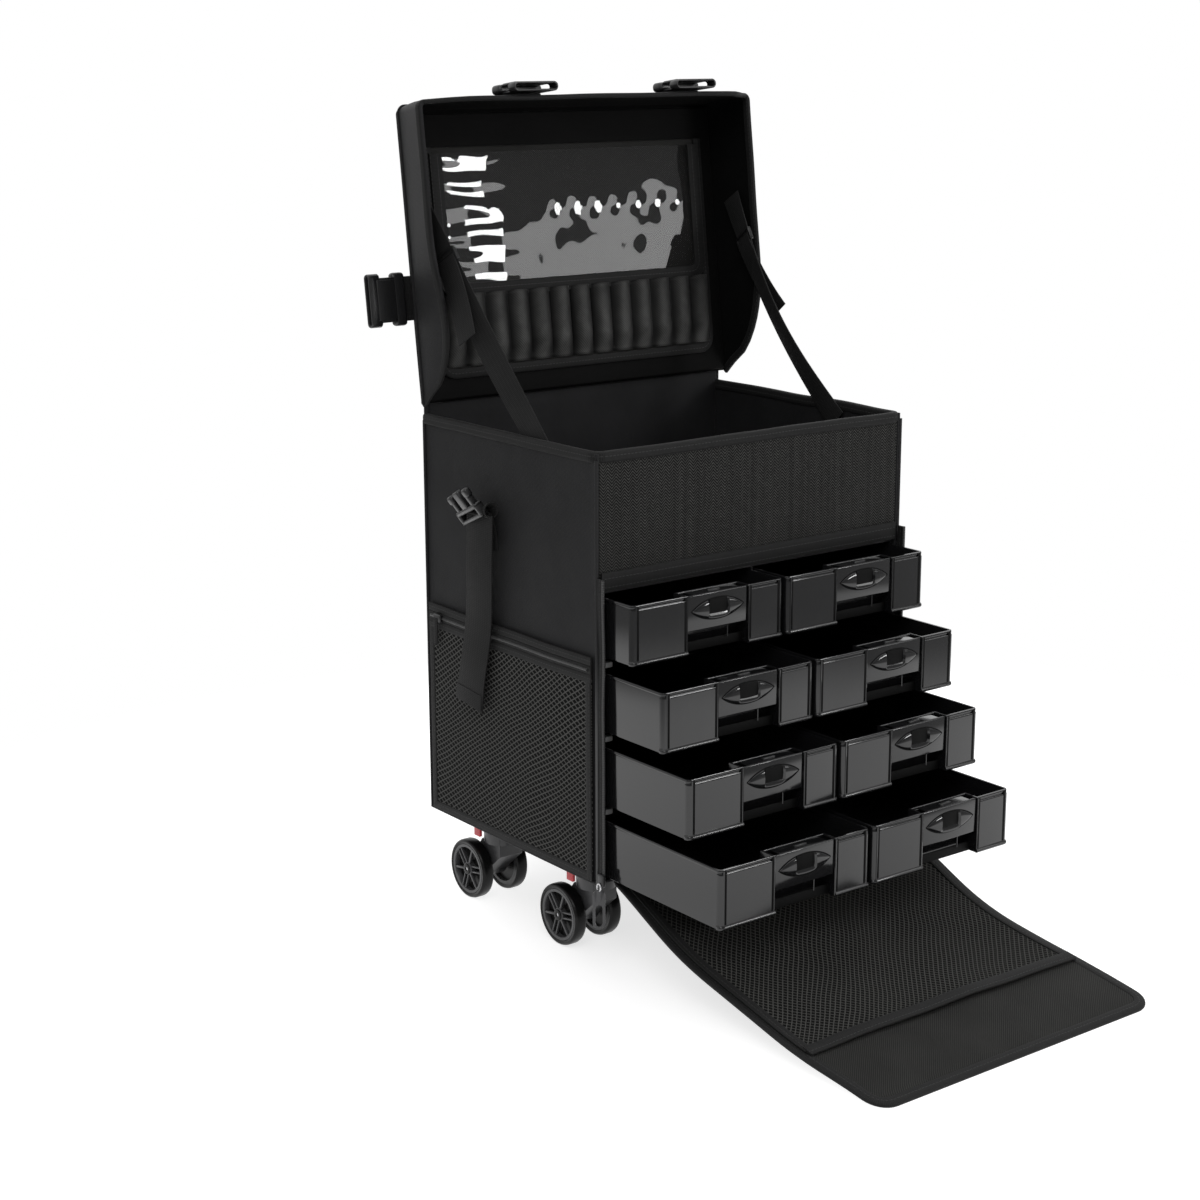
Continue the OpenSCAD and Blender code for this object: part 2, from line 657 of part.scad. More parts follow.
// Carry handle on the lid: two pivot brackets and a bail that lies flat towards the hinge
carry_lift = carry_d/2 + 2.5;
module carry_handle_brackets() color(matt_black) on_lid() both_sides() difference() {
    translate([carry_w/2 + run_gap, -carry_at, 0]) {
        block([0, -bracket_w/2, 0], [bracket_w, bracket_w/2, carry_pin_h]);
        translate([0, 0, carry_pin_h]) bar_x(bracket_w*0.55, 0, bracket_w);
    }
    translate([0, -carry_at, carry_pin_h]) bar_x(carry_pin_d + 2*pin_gap, 0, carry_w/2 + bracket_w - 4);
}
module carry_handle() color(gloss_black) on_lid() translate([0, -carry_at, 0]) {
    arm_w = 9;
    arm_t = 8;
    both_sides() {
        block([carry_w/2 - arm_w, 0, carry_pin_h - arm_t/2], [carry_w/2, carry_arm, carry_pin_h + arm_t/2]);
        translate([0, 0, carry_pin_h]) {
            bar_x(arm_t, carry_w/2 - arm_w, carry_w/2);
            bar_x(carry_pin_d, carry_w/2 - eps, carry_w/2 + carry_pin_l);
        }
    }
    translate([0, carry_arm, carry_lift]) bar_x(carry_d, -carry_w/2, carry_w/2);
}

// Front flap: cloth that slopes from the base to the floor with some slack
module flap_sheet(from, to, over, thick, width) along_x(width) polygon(concat(
    [for (i = [0:flap_steps]) let (s = from + (to - from)*i/flap_steps) [flap_y(s), flap_z(s) + over]],
    [for (i = [flap_steps:-1:0]) let (s = from + (to - from)*i/flap_steps)
        [flap_y(s), flap_z(s) + over + thick]]));
flap_plug_from = (flap_hinge_y - flap_plug_y)/flap_reach;
flap_plug_to = flap_plug_from + flap_plug_l/flap_reach;
flap_plug_tilt = atan2(flap_z(flap_plug_from) - flap_z(flap_plug_to), flap_plug_l);
module front_flap() color(black_cloth) place() {
    block([-flap_w/2, flap_hinge_y - eps, flap_hinge_z - flap_t/2],
          [flap_w/2, front_y - seat_gap, flap_hinge_z + flap_t/2]);
    flap_sheet(0, 1, -flap_t/2, flap_t, flap_w);
    both_sides() translate([front_strap_x, 0, 0])
        flap_sheet(flap_seam, flap_plug_from - 0.002, -flap_t/2 - webbing_t, webbing_t, webbing_w);
}
module flap_pocket() color(mesh_cloth) place()
    flap_sheet(flap_seam, flap_pocket_share, flap_t/2 + seat_gap, mesh_t, flap_w - 2*flap_hem);
module flap_buckle_plugs() color(matt_black) place() both_sides()
    translate([front_strap_x, flap_plug_y, flap_z(flap_plug_from) - flap_t/2 - seat_gap])
        rotate([flap_plug_tilt, 0, 0]) rotate([90, 90, 0]) buckle_plug(flap_plug_l, flap_plug_t);

side_panel("left");  // left_panel
side_panel("right");  // right_panel
back_panel();
base_panel();
upper_front_panel();
edge_binding();
drawer_cabinet();
side_pockets();
side_straps();
side_buckle_plugs();
trolley_housing();
trolley_outer_tubes();
caster_sockets();
handle_middle_tubes();
handle_top_tubes();
handle_grip();
handle_button();
lid_shell();
lid_organiser();
lid_clear_pocket();
lid_straps();
lid_buckle_sockets();
lid_stays();
carry_handle_brackets();
carry_handle();
front_flap();
flap_pocket();
flap_buckle_plugs();
for (s = SIDES, r = ROWS) {
    drawer(s, r);
    latch(s, r);
}
for (e = ENDS, s = SIDES) {
    caster_fork(e, s);
    caster_wheels(e, s);
    caster_axle(e, s);
    caster_release(e, s);
}
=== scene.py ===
"""A soft-sided rolling makeup case standing open. Metres, +Z up, front towards -Y."""
import json
from math import copysign, cos, exp, hypot, pi, radians, sin, sqrt

import bmesh
import bpy
import numpy as np
from mathutils import Matrix, Vector, noise


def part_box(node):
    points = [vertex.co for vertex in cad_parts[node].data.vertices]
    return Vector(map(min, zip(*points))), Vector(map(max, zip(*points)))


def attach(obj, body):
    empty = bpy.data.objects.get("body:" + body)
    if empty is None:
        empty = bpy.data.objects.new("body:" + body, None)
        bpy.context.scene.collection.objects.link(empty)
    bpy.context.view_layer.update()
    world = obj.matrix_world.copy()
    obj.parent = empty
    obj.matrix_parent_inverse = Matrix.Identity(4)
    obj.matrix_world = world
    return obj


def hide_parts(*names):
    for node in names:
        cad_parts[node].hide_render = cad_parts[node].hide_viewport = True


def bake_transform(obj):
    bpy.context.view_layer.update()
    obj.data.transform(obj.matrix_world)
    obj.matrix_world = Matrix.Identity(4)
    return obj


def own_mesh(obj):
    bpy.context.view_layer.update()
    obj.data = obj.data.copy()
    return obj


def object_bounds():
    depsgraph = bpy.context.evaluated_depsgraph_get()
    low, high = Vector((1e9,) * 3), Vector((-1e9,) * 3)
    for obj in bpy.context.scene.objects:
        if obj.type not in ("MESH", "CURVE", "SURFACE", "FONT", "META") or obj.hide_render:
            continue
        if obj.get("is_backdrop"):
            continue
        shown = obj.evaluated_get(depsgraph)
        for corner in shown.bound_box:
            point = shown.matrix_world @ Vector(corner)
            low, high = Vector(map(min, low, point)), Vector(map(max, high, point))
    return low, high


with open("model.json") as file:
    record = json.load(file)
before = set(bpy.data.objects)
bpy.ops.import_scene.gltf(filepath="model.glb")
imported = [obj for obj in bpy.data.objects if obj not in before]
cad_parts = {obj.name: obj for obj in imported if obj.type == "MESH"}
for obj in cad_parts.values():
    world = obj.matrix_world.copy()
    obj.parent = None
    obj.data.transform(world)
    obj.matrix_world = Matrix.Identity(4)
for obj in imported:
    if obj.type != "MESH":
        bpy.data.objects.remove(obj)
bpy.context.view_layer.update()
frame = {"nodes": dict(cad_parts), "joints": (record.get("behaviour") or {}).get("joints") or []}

# Sizes that the frame gives
MM = 0.001
SIDES = {"left": -1, "right": 1}
ROWS = (1, 2, 3, 4)
CORNERS = [f"{end}_{side}" for end in ("front", "rear") for side in SIDES]
JOINT = {j["name"]: j for j in frame["joints"]}
NODE = frame["nodes"]

wall_low, wall_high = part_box("right_panel")
FRONT, BACK = wall_low.y, wall_high.y
CASE_Y = (FRONT + BACK) / 2
HALF_W = wall_high.x
WALL = wall_high.x - wall_low.x
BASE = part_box("base_panel")[0].z
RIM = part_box("edge_binding")[1].z

HINGE = Vector(JOINT["lid_hinge"]["pos_m"])
LEAN = radians(-JOINT["lid_hinge"]["range_deg"][0] - 90)
FLAP_HINGE = Vector(JOINT["flap_hinge"]["pos_m"])


def on_lid(x, along, above):
    """A point of the lid: along from the hinge to the front edge, above its outer face."""
    return Vector((x, HINGE.y + along * sin(LEAN) + above * cos(LEAN),
                   HINGE.z + along * cos(LEAN) - above * sin(LEAN)))


def lid_way(x, along, above):
    """A direction on the lid."""
    return on_lid(x, along, above) - on_lid(0, 0, 0)


def lid_along(point):
    """How far a point lies along the lid from the hinge."""
    return (point.y - HINGE.y) * sin(LEAN) + (point.z - HINGE.z) * cos(LEAN)


def lid_box(node):
    """Lowest and highest (x, along, above) of a node that belongs to the lid."""
    points = np.array([v.co for v in NODE[node].data.vertices]) - np.array(HINGE)
    along = points[:, 1] * sin(LEAN) + points[:, 2] * cos(LEAN)
    above = points[:, 1] * cos(LEAN) - points[:, 2] * sin(LEAN)
    local = np.stack([points[:, 0], along, above], axis=1)
    return Vector(local.min(0)), Vector(local.max(0))


def smooth(t):
    """An even step from 0 to 1."""
    t = min(max(t, 0.0), 1.0)
    return t * t * (3 - 2 * t)


def soft(x, y, z, scale, seed=0.0):
    """Slow noise from -1 to 1, for cloth that doesn't lie quite flat."""
    return noise.noise(Vector((x * scale + seed, y * scale, z * scale)))


def spread(low, high, count):
    """Even steps from low to high, both ends included."""
    return [low + (high - low) * k / count for k in range(count + 1)]


def grey(level):
    return (level,) * 3


# Materials
def add_node(tree, kind, inputs=(), **settings):
    made = tree.nodes.new(kind)
    for key, value in settings.items():
        setattr(made, key, value)
    for key, value in dict(inputs).items():
        if isinstance(value, bpy.types.NodeSocket):
            tree.links.new(value, made.inputs[key])
        else:
            made.inputs[key].default_value = value
    return made


def ramp(tree, value, low, high, start, end, kind="SMOOTHSTEP"):
    """Runs from start to end while a value goes from low to high."""
    return add_node(tree, "ShaderNodeMapRange", {0: value, 1: low, 2: high, 3: start, 4: end},
                    interpolation_type=kind).outputs[0]


class Paint:
    """A Principled material and the sockets that give it detail."""

    def __init__(self, name, color, roughness, **sockets):
        self.material = bpy.data.materials.new(name)
        self.material.use_nodes = True
        self.tree = self.material.node_tree
        self.shader = self.tree.nodes["Principled BSDF"]
        self.set(Base_Color=(*color, 1), Roughness=roughness, **sockets)
        self.heights = []

    def set(self, **sockets):
        for key, value in sockets.items():
            self.shader.inputs[key.replace("_", " ")].default_value = value

    def math(self, operation, a, b=0.0):
        return add_node(self.tree, "ShaderNodeMath", {0: a, 1: b}, operation=operation).outputs[0]

    def times(self, a, b):
        return self.math("MULTIPLY", a, b)

    def plus(self, a, b):
        return self.math("ADD", a, b)

    def flat(self):
        """The piece's own flat coordinates, in metres."""
        place = add_node(self.tree, "ShaderNodeTexCoord").outputs["UV"]
        return add_node(self.tree, "ShaderNodeSeparateXYZ", {0: place}).outputs[:2]

    def wave(self, value, pitch):
        """A wave from 0 to 1."""
        turned = self.math("SINE", self.times(value, 2 * pi / pitch))
        return self.times(self.plus(turned, 1.0), 0.5)

    def noise(self, scale, detail=3.0):
        place = add_node(self.tree, "ShaderNodeTexCoord").outputs["Object"]
        return add_node(self.tree, "ShaderNodeTexNoise",
                        {"Vector": place, "Scale": scale, "Detail": detail}).outputs["Fac"]

    def between(self, factor, dark, light):
        """Runs the colour from dark to light by a factor from 0 to 1."""
        made = add_node(self.tree, "ShaderNodeMix", {0: factor, 6: (*dark, 1), 7: (*light, 1)},
                        data_type="RGBA")
        self.tree.links.new(made.outputs[2], self.shader.inputs["Base Color"])

    def rough(self, factor, low, high):
        made = ramp(self.tree, factor, 0.0, 1.0, low, high, "LINEAR")
        self.tree.links.new(made, self.shader.inputs["Roughness"])

    def raised(self, height, distance, strength=1.0):
        """Adds a relief; later ones lie on earlier ones."""
        bump = add_node(self.tree, "ShaderNodeBump",
                        {"Height": height, "Distance": distance, "Strength": strength})
        if self.heights:
            self.tree.links.new(self.heights[-1], bump.inputs["Normal"])
        self.heights.append(bump.outputs[0])
        self.tree.links.new(bump.outputs[0], self.shader.inputs["Normal"])


def cloth_paint(name, dark, light, weave, roughness=0.66, sheen=0.03, share=0.5):
    """Cloth with a weave over its flat coordinates; share is the weave's part in the colour."""
    made = Paint(name, light, roughness, Sheen_Weight=sheen, Sheen_Roughness=0.4, Specular_IOR_Level=0.09)
    u, v = made.flat()
    woven = weave(made, u, v)
    mottled = made.plus(made.times(made.noise(22.0), 1 - share), made.times(woven, share))
    made.between(mottled, dark, light)
    made.raised(made.noise(30.0, 2.0), 0.9 * MM, 0.5)
    made.raised(woven, 0.25 * MM, 0.6)
    return made.material


def plain_weave(p, u, v):
    return p.times(p.wave(u, 1.1 * MM), p.wave(v, 1.1 * MM))


def twill_weave(p, u, v):
    return p.wave(p.plus(u, v), 2.4 * MM)


def herringbone(p, u, v):
    """Fine zigzag threads, uneven along their length and in streaks up the cloth."""
    back_and_forth = p.math("PINGPONG", u, 4.6 * MM)
    threads = p.math("POWER", p.wave(p.plus(v, back_and_forth), 2.8 * MM), 3.0)
    slub = p.plus(p.noise(330.0, 1.0), 0.35)
    streak = add_node(p.tree, "ShaderNodeTexNoise", {"W": u, "Scale": 150.0, "Detail": 2.0},
                      noise_dimensions="1D")
    return p.times(p.times(threads, slub), p.plus(streak.outputs["Fac"], 0.5))


def net(p, u, v, wide=8.5 * MM, tall=5.4 * MM):
    """Strands of a diamond net, stretched a little here and there."""
    strands = None
    for sign in (1, -1):
        run = p.plus(p.times(u, 1 / wide), p.times(v, sign / tall))
        run = p.plus(run, p.times(p.noise(9.0 + 2 * sign, 1.0), 2.6))
        line = p.math("PINGPONG", run, 0.5)
        strand = p.math("LESS_THAN", line, 0.115)
        strands = strand if strands is None else p.math("MAXIMUM", strands, strand)
    return strands


def ribs(p, u, v):
    return p.times(p.wave(v, 1.7 * MM), p.plus(p.times(p.wave(u, 3.6 * MM), 0.5), 0.5))


NYLON = cloth_paint("nylon", (0.006, 0.006, 0.0065), (0.024, 0.024, 0.025), plain_weave, 0.5, 0.05)
LINING = cloth_paint("lining", grey(0.001), grey(0.006), plain_weave, 0.7, 0.01)
TWILL = cloth_paint("twill", grey(0.002), (0.034, 0.034, 0.032), twill_weave, share=0.65)
CHEVRON = cloth_paint("herringbone", grey(0.0005), (0.058, 0.058, 0.055), herringbone, share=0.92)
NET = cloth_paint("net", grey(0.0), (0.08, 0.08, 0.077), net, 0.85, 0.0, 0.97)
FINE_NET = cloth_paint("fine_net", grey(0.001), (0.055, 0.055, 0.052),
                       lambda p, u, v: net(p, u, v, 5.6 * MM, 6.2 * MM), 0.85, 0.0, 0.9)
WEBBING = cloth_paint("webbing", grey(0.004), grey(0.026), ribs, 0.6, 0.04)


def binding_paint():
    """Ribbed tape with a row of stitches."""
    made = Paint("binding", grey(0.02), 0.6, Sheen_Weight=0.03, Specular_IOR_Level=0.12)
    u, v = made.flat()
    ribbed = made.wave(v, 1.3 * MM)
    dash = made.math("LESS_THAN", made.math("PINGPONG", v, 2.0 * MM), 1.3 * MM)
    row = made.math("LESS_THAN", made.math("PINGPONG", made.plus(u, 2.0 * MM), 4.0 * MM), 0.35 * MM)
    stitch = made.times(dash, row)
    made.between(made.plus(made.times(ribbed, 0.3), made.times(stitch, 0.7)),
                 grey(0.006), grey(0.036))
    made.raised(ribbed, 0.2 * MM, 0.5)
    made.raised(stitch, 0.3 * MM, 0.7)
    return made.material


def gloss_paint(name, color, low, high):
    made = Paint(name, color, low, Specular_IOR_Level=0.5)
    made.rough(made.noise(60.0), low, high)
    made.raised(made.noise(18.0, 1.0), 0.6 * MM, 0.12)
    return made.material


def grain_paint(name, color, roughness, grain=900.0, depth=0.12, **sockets):
    made = Paint(name, color, roughness, **sockets)
    speckle = made.noise(grain, 2.0)
    made.between(made.noise(35.0), [c * 0.8 for c in color], [c * 1.2 for c in color])
    made.rough(speckle, roughness - 0.06, roughness + 0.06)
    made.raised(speckle, depth * MM, 0.5)
    return made.material


def coil_paint():
    made = Paint("zip_coil", grey(0.02), 0.4)
    u, v = made.flat()
    teeth = made.wave(v, 1.6 * MM)
    made.between(teeth, grey(0.006), grey(0.045))
    made.raised(teeth, 0.5 * MM)
    return made.material


def clear_paint():
    made = Paint("clear_sheet", grey(0.012), 0.04, Alpha=0.45, Specular_IOR_Level=0.55,
                 Coat_Weight=1.0, Coat_IOR=1.5, Coat_Roughness=0.01)
    made.rough(made.noise(40.0), 0.01, 0.03)
    made.raised(made.noise(24.0, 1.0), 0.05 * MM, 0.4)
    return made.material


BINDING = binding_paint()
GLOSS = gloss_paint("gloss_plastic", (0.006, 0.006, 0.0065), 0.07, 0.13)
MATT = grain_paint("matt_plastic", (0.008, 0.008, 0.0085), 0.36)
# Near-black: the bar seen through each drawer's notch, and painted shade beside the drawers' ribs, in the
# latches' fingertip cuts and round their pulls
BLACK_AND_SHADE = grain_paint("black_and_painted_shade", grey(0.002), 0.6, Specular_IOR_Level=0.1)
TUBE = grain_paint("dark_tube", (0.05, 0.05, 0.052), 0.32, 300.0, 0.03, Metallic=0.7)
STEEL = grain_paint("steel", (0.55, 0.55, 0.56), 0.28, 300.0, 0.03, Metallic=1.0)
TYRE = grain_paint("tyre", grey(0.005), 0.3, Specular_IOR_Level=0.2)
HUB = grain_paint("hub", (0.04, 0.04, 0.042), 0.34)
RED = grain_paint("red_plastic", (0.55, 0.025, 0.035), 0.35)
# Light grey, partly the runner ends' own colour and partly a painted highlight for their glint
RUNNER_GREY_AND_GLINT = grain_paint("runner_grey_and_painted_glint", grey(0.30), 0.45)
COIL = coil_paint()
CLEAR = clear_paint()


# Shapes: points, faces and each face's flat coordinates
def loft(rings, closed=True, caps=True, looped=False):
    """A skin over rings of points. closed joins a ring's ends; looped joins the last ring to the first."""
    rings = [[Vector(p) for p in ring] for ring in rings]
    count, size = len(rings), len(rings[0])
    columns = size if closed else size - 1
    u_at = []
    for ring in rings:
        run = [0.0]
        for j in range(columns):
            run.append(run[-1] + (ring[(j + 1) % size] - ring[j]).length)
        u_at.append(run)
    v_at = [0.0]
    for i in range(count if looped else count - 1):
        a, b = rings[i], rings[(i + 1) % count]
        v_at.append(v_at[-1] + sum((q - p).length for p, q in zip(a, b)) / size)
    faces, uvs = [], []
    for i in range(count if looped else count - 1):
        k = (i + 1) % count
        for j in range(columns):
            n = (j + 1) % size
            faces.append([i * size + j, i * size + n, k * size + n, k * size + j])
            uvs.append([(u_at[i][j], v_at[i]), (u_at[i][j + 1], v_at[i]),
                        (u_at[k][j + 1], v_at[i + 1]), (u_at[k][j], v_at[i + 1])])
    if caps and closed and not looped:
        for i in (0, count - 1):
            faces.append([i * size + j for j in range(size)])
            uvs.append([(u_at[i][j], v_at[i]) for j in range(size)])
    return [p for ring in rings for p in ring], faces, uvs


def put(shape, where):
    """The shape with each point (x, y, z) sent to where(x, y, z)."""
    return [Vector(where(*p)) for p in shape[0]], shape[1], shape[2]


def corner_arc(x, y, radius, steps, start=0.0):
    """A quarter circle about (x, y), from its left round to its lower end."""
    return [(x - radius * cos(a), y - radius * sin(a)) for a in spread(start, pi / 2, steps)]


def rounded_ring(width, height, radius, steps=3):
    ring = []
    for sx, sy, start in ((1, 1, 0), (-1, 1, 90), (-1, -1, 180), (1, -1, 270)):
        for k in range(steps + 1):
            angle = radians(start + 90 * k / steps)
            ring.append((sx * (width / 2 - radius) + radius * cos(angle),
                         sy * (height / 2 - radius) + radius * sin(angle)))
    return ring


def stadium(width, length, top, steps=10):
    """Points (a, c) round an upright oval with straight sides, from its top down."""
    r = width / 2
    ends = ((top - r, 0.0), (top - length + r, pi))
    return [(r * cos(start + a), middle + r * sin(start + a)) for middle, start in ends
            for a in spread(0, pi, steps)]


def rounded_box(low, high, radius, steps=3):
    low, high = Vector(low), Vector(high)
    size, mid = high - low, (low + high) / 2
    radius = min(radius, 0.49 * min(size))
    rings = []
    for end in (-1, 1):
        for k in range(steps + 1):
            angle = pi / 2 * (k / steps if end > 0 else 1 - k / steps)
            inset = radius * (1 - cos(angle))
            z = mid.z + end * (size.z / 2 - radius + radius * sin(angle))
            corner = max(radius - inset, 0.06 * radius)
            ring = rounded_ring(size.x - 2 * inset, size.y - 2 * inset, corner, steps)
            rings.append([(mid.x + x, mid.y + y, z) for x, y in ring])
    return loft(rings)


def box_at(point, low, high, radius, steps=3):
    """A rounded box by a point: corners seen from there and a radius, in millimetres."""
    point = Vector(point)
    return rounded_box(point + Vector(low) * MM, point + Vector(high) * MM, radius * MM, steps)


def tangents(path, looped=False):
    """The direction of a path at each of its points."""
    ends = (path[-1], path[0]) if looped else (path[0], path[-1])
    longer = [ends[0], *path, ends[1]]
    return [(after - before).normalized() for before, after in zip(longer, longer[2:])]


def sweep(path, across, section, looped=False):
    """A section (a, b) carried along a path: a runs across, b along the normal."""
    path = [Vector(p) for p in path]
    rings = []
    for i, (point, tangent) in enumerate(zip(path, tangents(path, looped))):
        side = Vector(across[i] if isinstance(across, list) else across)
        side = (side - tangent * side.dot(tangent)).normalized()
        normal = tangent.cross(side)
        rings.append([point + side * a + normal * b for a, b in section])
    return loft(rings, caps=not looped, looped=looped)


def strap(path, across, width, thick):
    """A flat band along a path."""
    return sweep(path, across, rounded_ring(width, thick, thick * 0.45, 2))


def tube(path, radius, sides=10, looped=False):
    """A round bar along a path."""
    path = [Vector(p) for p in path]
    span = max(path, key=lambda p: (p - path[0]).length) - path[0]
    axes = [Vector(a) for a in ((1, 0, 0), (0, 1, 0), (0, 0, 1))]
    side, rings = min(axes, key=lambda a: abs(a.dot(span))), []
    for point, tangent in zip(path, tangents(path, looped)):
        side = (side - tangent * side.dot(tangent)).normalized()
        normal = tangent.cross(side)
        rings.append([point + (side * cos(a) + normal * sin(a)) * radius
                      for a in spread(0, 2 * pi, sides)[:-1]])
    return loft(rings, caps=not looped, looped=looped)


def lathe(profile, centre, steps=40):
    """A ring section (radius, x) turned about the line along x through a centre."""
    rings = []
    for i in range(steps):
        a = 2 * pi * i / steps
        rings.append([Vector(centre) + Vector((x, r * cos(a), r * sin(a))) for r, x in profile])
    return loft(rings, caps=False, looped=True)


def grid(us, vs, where):
    """An open sheet: where(u, v) gives a point for each pair of flat coordinates."""
    points = [Vector(where(u, v)) for v in vs for u in us]
    faces, uvs, columns = [], [], len(us)
    for j in range(len(vs) - 1):
        for i in range(columns - 1):
            a = j * columns + i
            faces.append([a, a + 1, a + columns + 1, a + columns])
            uvs.append([(us[i], vs[j]), (us[i + 1], vs[j]), (us[i + 1], vs[j + 1]), (us[i], vs[j + 1])])
    return points, faces, uvs


def pillow(width, height, thick, crown, bulge=None, steps=28):
    """A padded slab in its own plane: u across, v up, w out. bulge(u, v) adds to the outer face."""
    edge = thick / 2
    spots = []
    for length in (width, height):
        outer = [0.0, 0.15 * edge, 0.5 * edge]
        spots.append(outer + spread(edge, length - edge, steps) + [length - s for s in outer[::-1]])

    def skin(u, v, face):
        near = min(u, width - u, v, height - v, edge) / edge
        deep = edge * sqrt(max(0.0, 1 - (1 - near) ** 2))
        if face < 0:
            return u, v, -deep
        swell = crown * (1 - (2 * u / width - 1) ** 2) * (1 - (2 * v / height - 1) ** 2)
        return u, v, deep + swell + (bulge(u, v) * near if bulge else 0.0)

    points, faces, uvs = grid(*spots, lambda u, v: skin(u, v, 1))
    inner = grid(*spots, lambda u, v: skin(u, v, -1))
    faces += [[len(points) + i for i in ring[::-1]] for ring in inner[1]]
    return points + inner[0], faces, uvs + [flat[::-1] for flat in inner[2]]


def add_object(name, data):
    made = bpy.data.objects.new(name, data)
    bpy.context.scene.collection.objects.link(made)
    return made


def piece(name, parts, body=None, swaps=(), sharp=40.0, weld=1e-6):
    """One object from (shape, material) pairs, riding on a body and standing for CAD nodes."""
    points, faces, uvs, which, paints = [], [], [], [], []
    for shape, paint in parts:
        start = len(points)
        points += [tuple(p) for p in shape[0]]
        faces += [[start + i for i in f] for f in shape[1]]
        uvs += shape[2]
        if paint not in paints:
            paints.append(paint)
        which += [paints.index(paint)] * len(shape[1])
    mesh = bpy.data.meshes.new(name)
    mesh.from_pydata(points, [], faces)
    layer = mesh.uv_layers.new(name="UVMap")
    layer.data.foreach_set("uv", [c for face in uvs for uv in face for c in uv])
    for paint in paints:
        mesh.materials.append(paint)
    mesh.polygons.foreach_set("material_index", which)
    work = bmesh.new()
    work.from_mesh(mesh)
    bmesh.ops.remove_doubles(work, verts=work.verts, dist=weld)
    bmesh.ops.recalc_face_normals(work, faces=work.faces)
    work.to_mesh(mesh)
    work.free()
    mesh.shade_smooth()
    mesh.set_sharp_from_angle(angle=radians(sharp))
    made = add_object(name, mesh)
    if body:
        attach(made, body)
    if swaps:
        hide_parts(*swaps)
    return made


def thicken(made, thick, offset=0.0, lining=None):
    """Gives an open sheet its thickness, and another cloth on its inner face."""
    solid = made.modifiers.new("thickness", "SOLIDIFY")
    solid.thickness, solid.offset = thick, offset
    solid.use_even_offset = True
    if lining:
        made.data.materials.append(lining)
        solid.material_offset = len(made.data.materials) - 1
    return made


def settle(made, free, pressure, frames=12, cap=2.5 * MM):
    """Cloth simulation: points that free() picks swell under pressure, none of them past the cap."""
    mesh, scene = made.data, bpy.context.scene
    held = made.vertex_groups.new(name="held")
    held.add([v.index for v in mesh.vertices if not free(v.co)], 1.0, "REPLACE")
    cloth = made.modifiers.new("cloth", "CLOTH")
    cloth.settings.vertex_group_mass = "held"
    cloth.settings.quality = 6
    cloth.settings.use_pressure = True
    cloth.settings.uniform_pressure_force = pressure
    cloth.settings.effector_weights.gravity = 0
    cloth.collision_settings.use_collision = False
    cloth.point_cache.frame_start, cloth.point_cache.frame_end = 1, frames
    for number in range(1, frames + 1):
        scene.frame_set(number)
    swollen = made.evaluated_get(bpy.context.evaluated_depsgraph_get()).data.vertices
    moves = [b.co - a.co for a, b in zip(mesh.vertices, swollen)]
    made.modifiers.remove(cloth)
    made.vertex_groups.remove(held)
    for vertex, move in zip(mesh.vertices, moves):
        vertex.co += move * min(1.0, cap / max(move.length, 1e-9))
    scene.frame_set(1)


# Body
SKIN = 0.5 * MM
PIPING = 1.7 * MM
WEB_W, WEB_T = 42 * MM, 1.7 * MM


def web_strap(path, across, thick=WEB_T):
    """The case's wide webbing along a path."""
    return strap(path, across, WEB_W, thick), WEBBING


def side_bulge(y, z):
    """How far a side panel swells out at a place."""
    u, v = (y - FRONT) / (BACK - FRONT), (z - BASE) / (RIM - BASE)
    return 2.0 * MM * max(0.0, 16 * u * (1 - u) * v * (1 - v)) + 0.5 * MM * soft(0, y, z, 14)


def panel_piece(name, node, slab, where, paint=NYLON):
    """A padded panel of the case: a slab set in its place."""
    return piece(name, [(put(slab, where), paint)], "case", [node], sharp=60)


for side, sign in SIDES.items():
    low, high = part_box(f"{side}_panel")
    slab = pillow(BACK - FRONT, high.z - low.z, WALL, 0.0, lambda u, v: side_bulge(FRONT + u, low.z + v))
    panel = panel_piece(f"{side}_side_cloth", f"{side}_panel", slab,
                        lambda u, v, w: (sign * (HALF_W - WALL / 2 + w), FRONT + u, low.z + v))
    settle(panel, lambda p: abs(p.x) > HALF_W - SKIN, 3.0, cap=1.5 * MM)

low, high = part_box("back_panel")
slab = pillow(high.x - low.x, high.z - low.z, WALL, 1.5 * MM)
panel = panel_piece("back_cloth", "back_panel", slab,
                    lambda u, v, w: (low.x + u, BACK - WALL / 2 + w, low.z + v))
settle(panel, lambda p: p.y > BACK - SKIN, 3.0)

low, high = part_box("base_panel")
slab = pillow(high.x - low.x, high.y - low.y, high.z - low.z, 0.0)
panel = panel_piece("base_cloth", "base_panel", slab,
                    lambda u, v, w: (low.x + u, low.y + v, (low.z + high.z) / 2 - w))

low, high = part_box("upper_front_panel")
slab = pillow(high.x - low.x, high.z - low.z, WALL, 1.2 * MM, lambda u, v: 0.5 * MM * soft(u, v, 3, 16))
panel = panel_piece("upper_front_cloth", "upper_front_panel", slab,
                    lambda u, v, w: (low.x + u, FRONT + WALL / 2 - w, low.z + v), CHEVRON)
settle(panel, lambda p: p.y < FRONT + SKIN, 3.0, cap=1.0 * MM)
HEM_W = 17 * MM
hem = [(x, FRONT - 0.6 * MM, low.z + HEM_W / 2 + 0.5 * MM * soft(x, 0, 9, 20))
       for x in spread(low.x + 1 * MM, high.x - 1 * MM, 30)]
piece("upper_front_hem", [(strap(hem, (0, 0, 1), HEM_W, 2.4 * MM), BINDING)], "case")

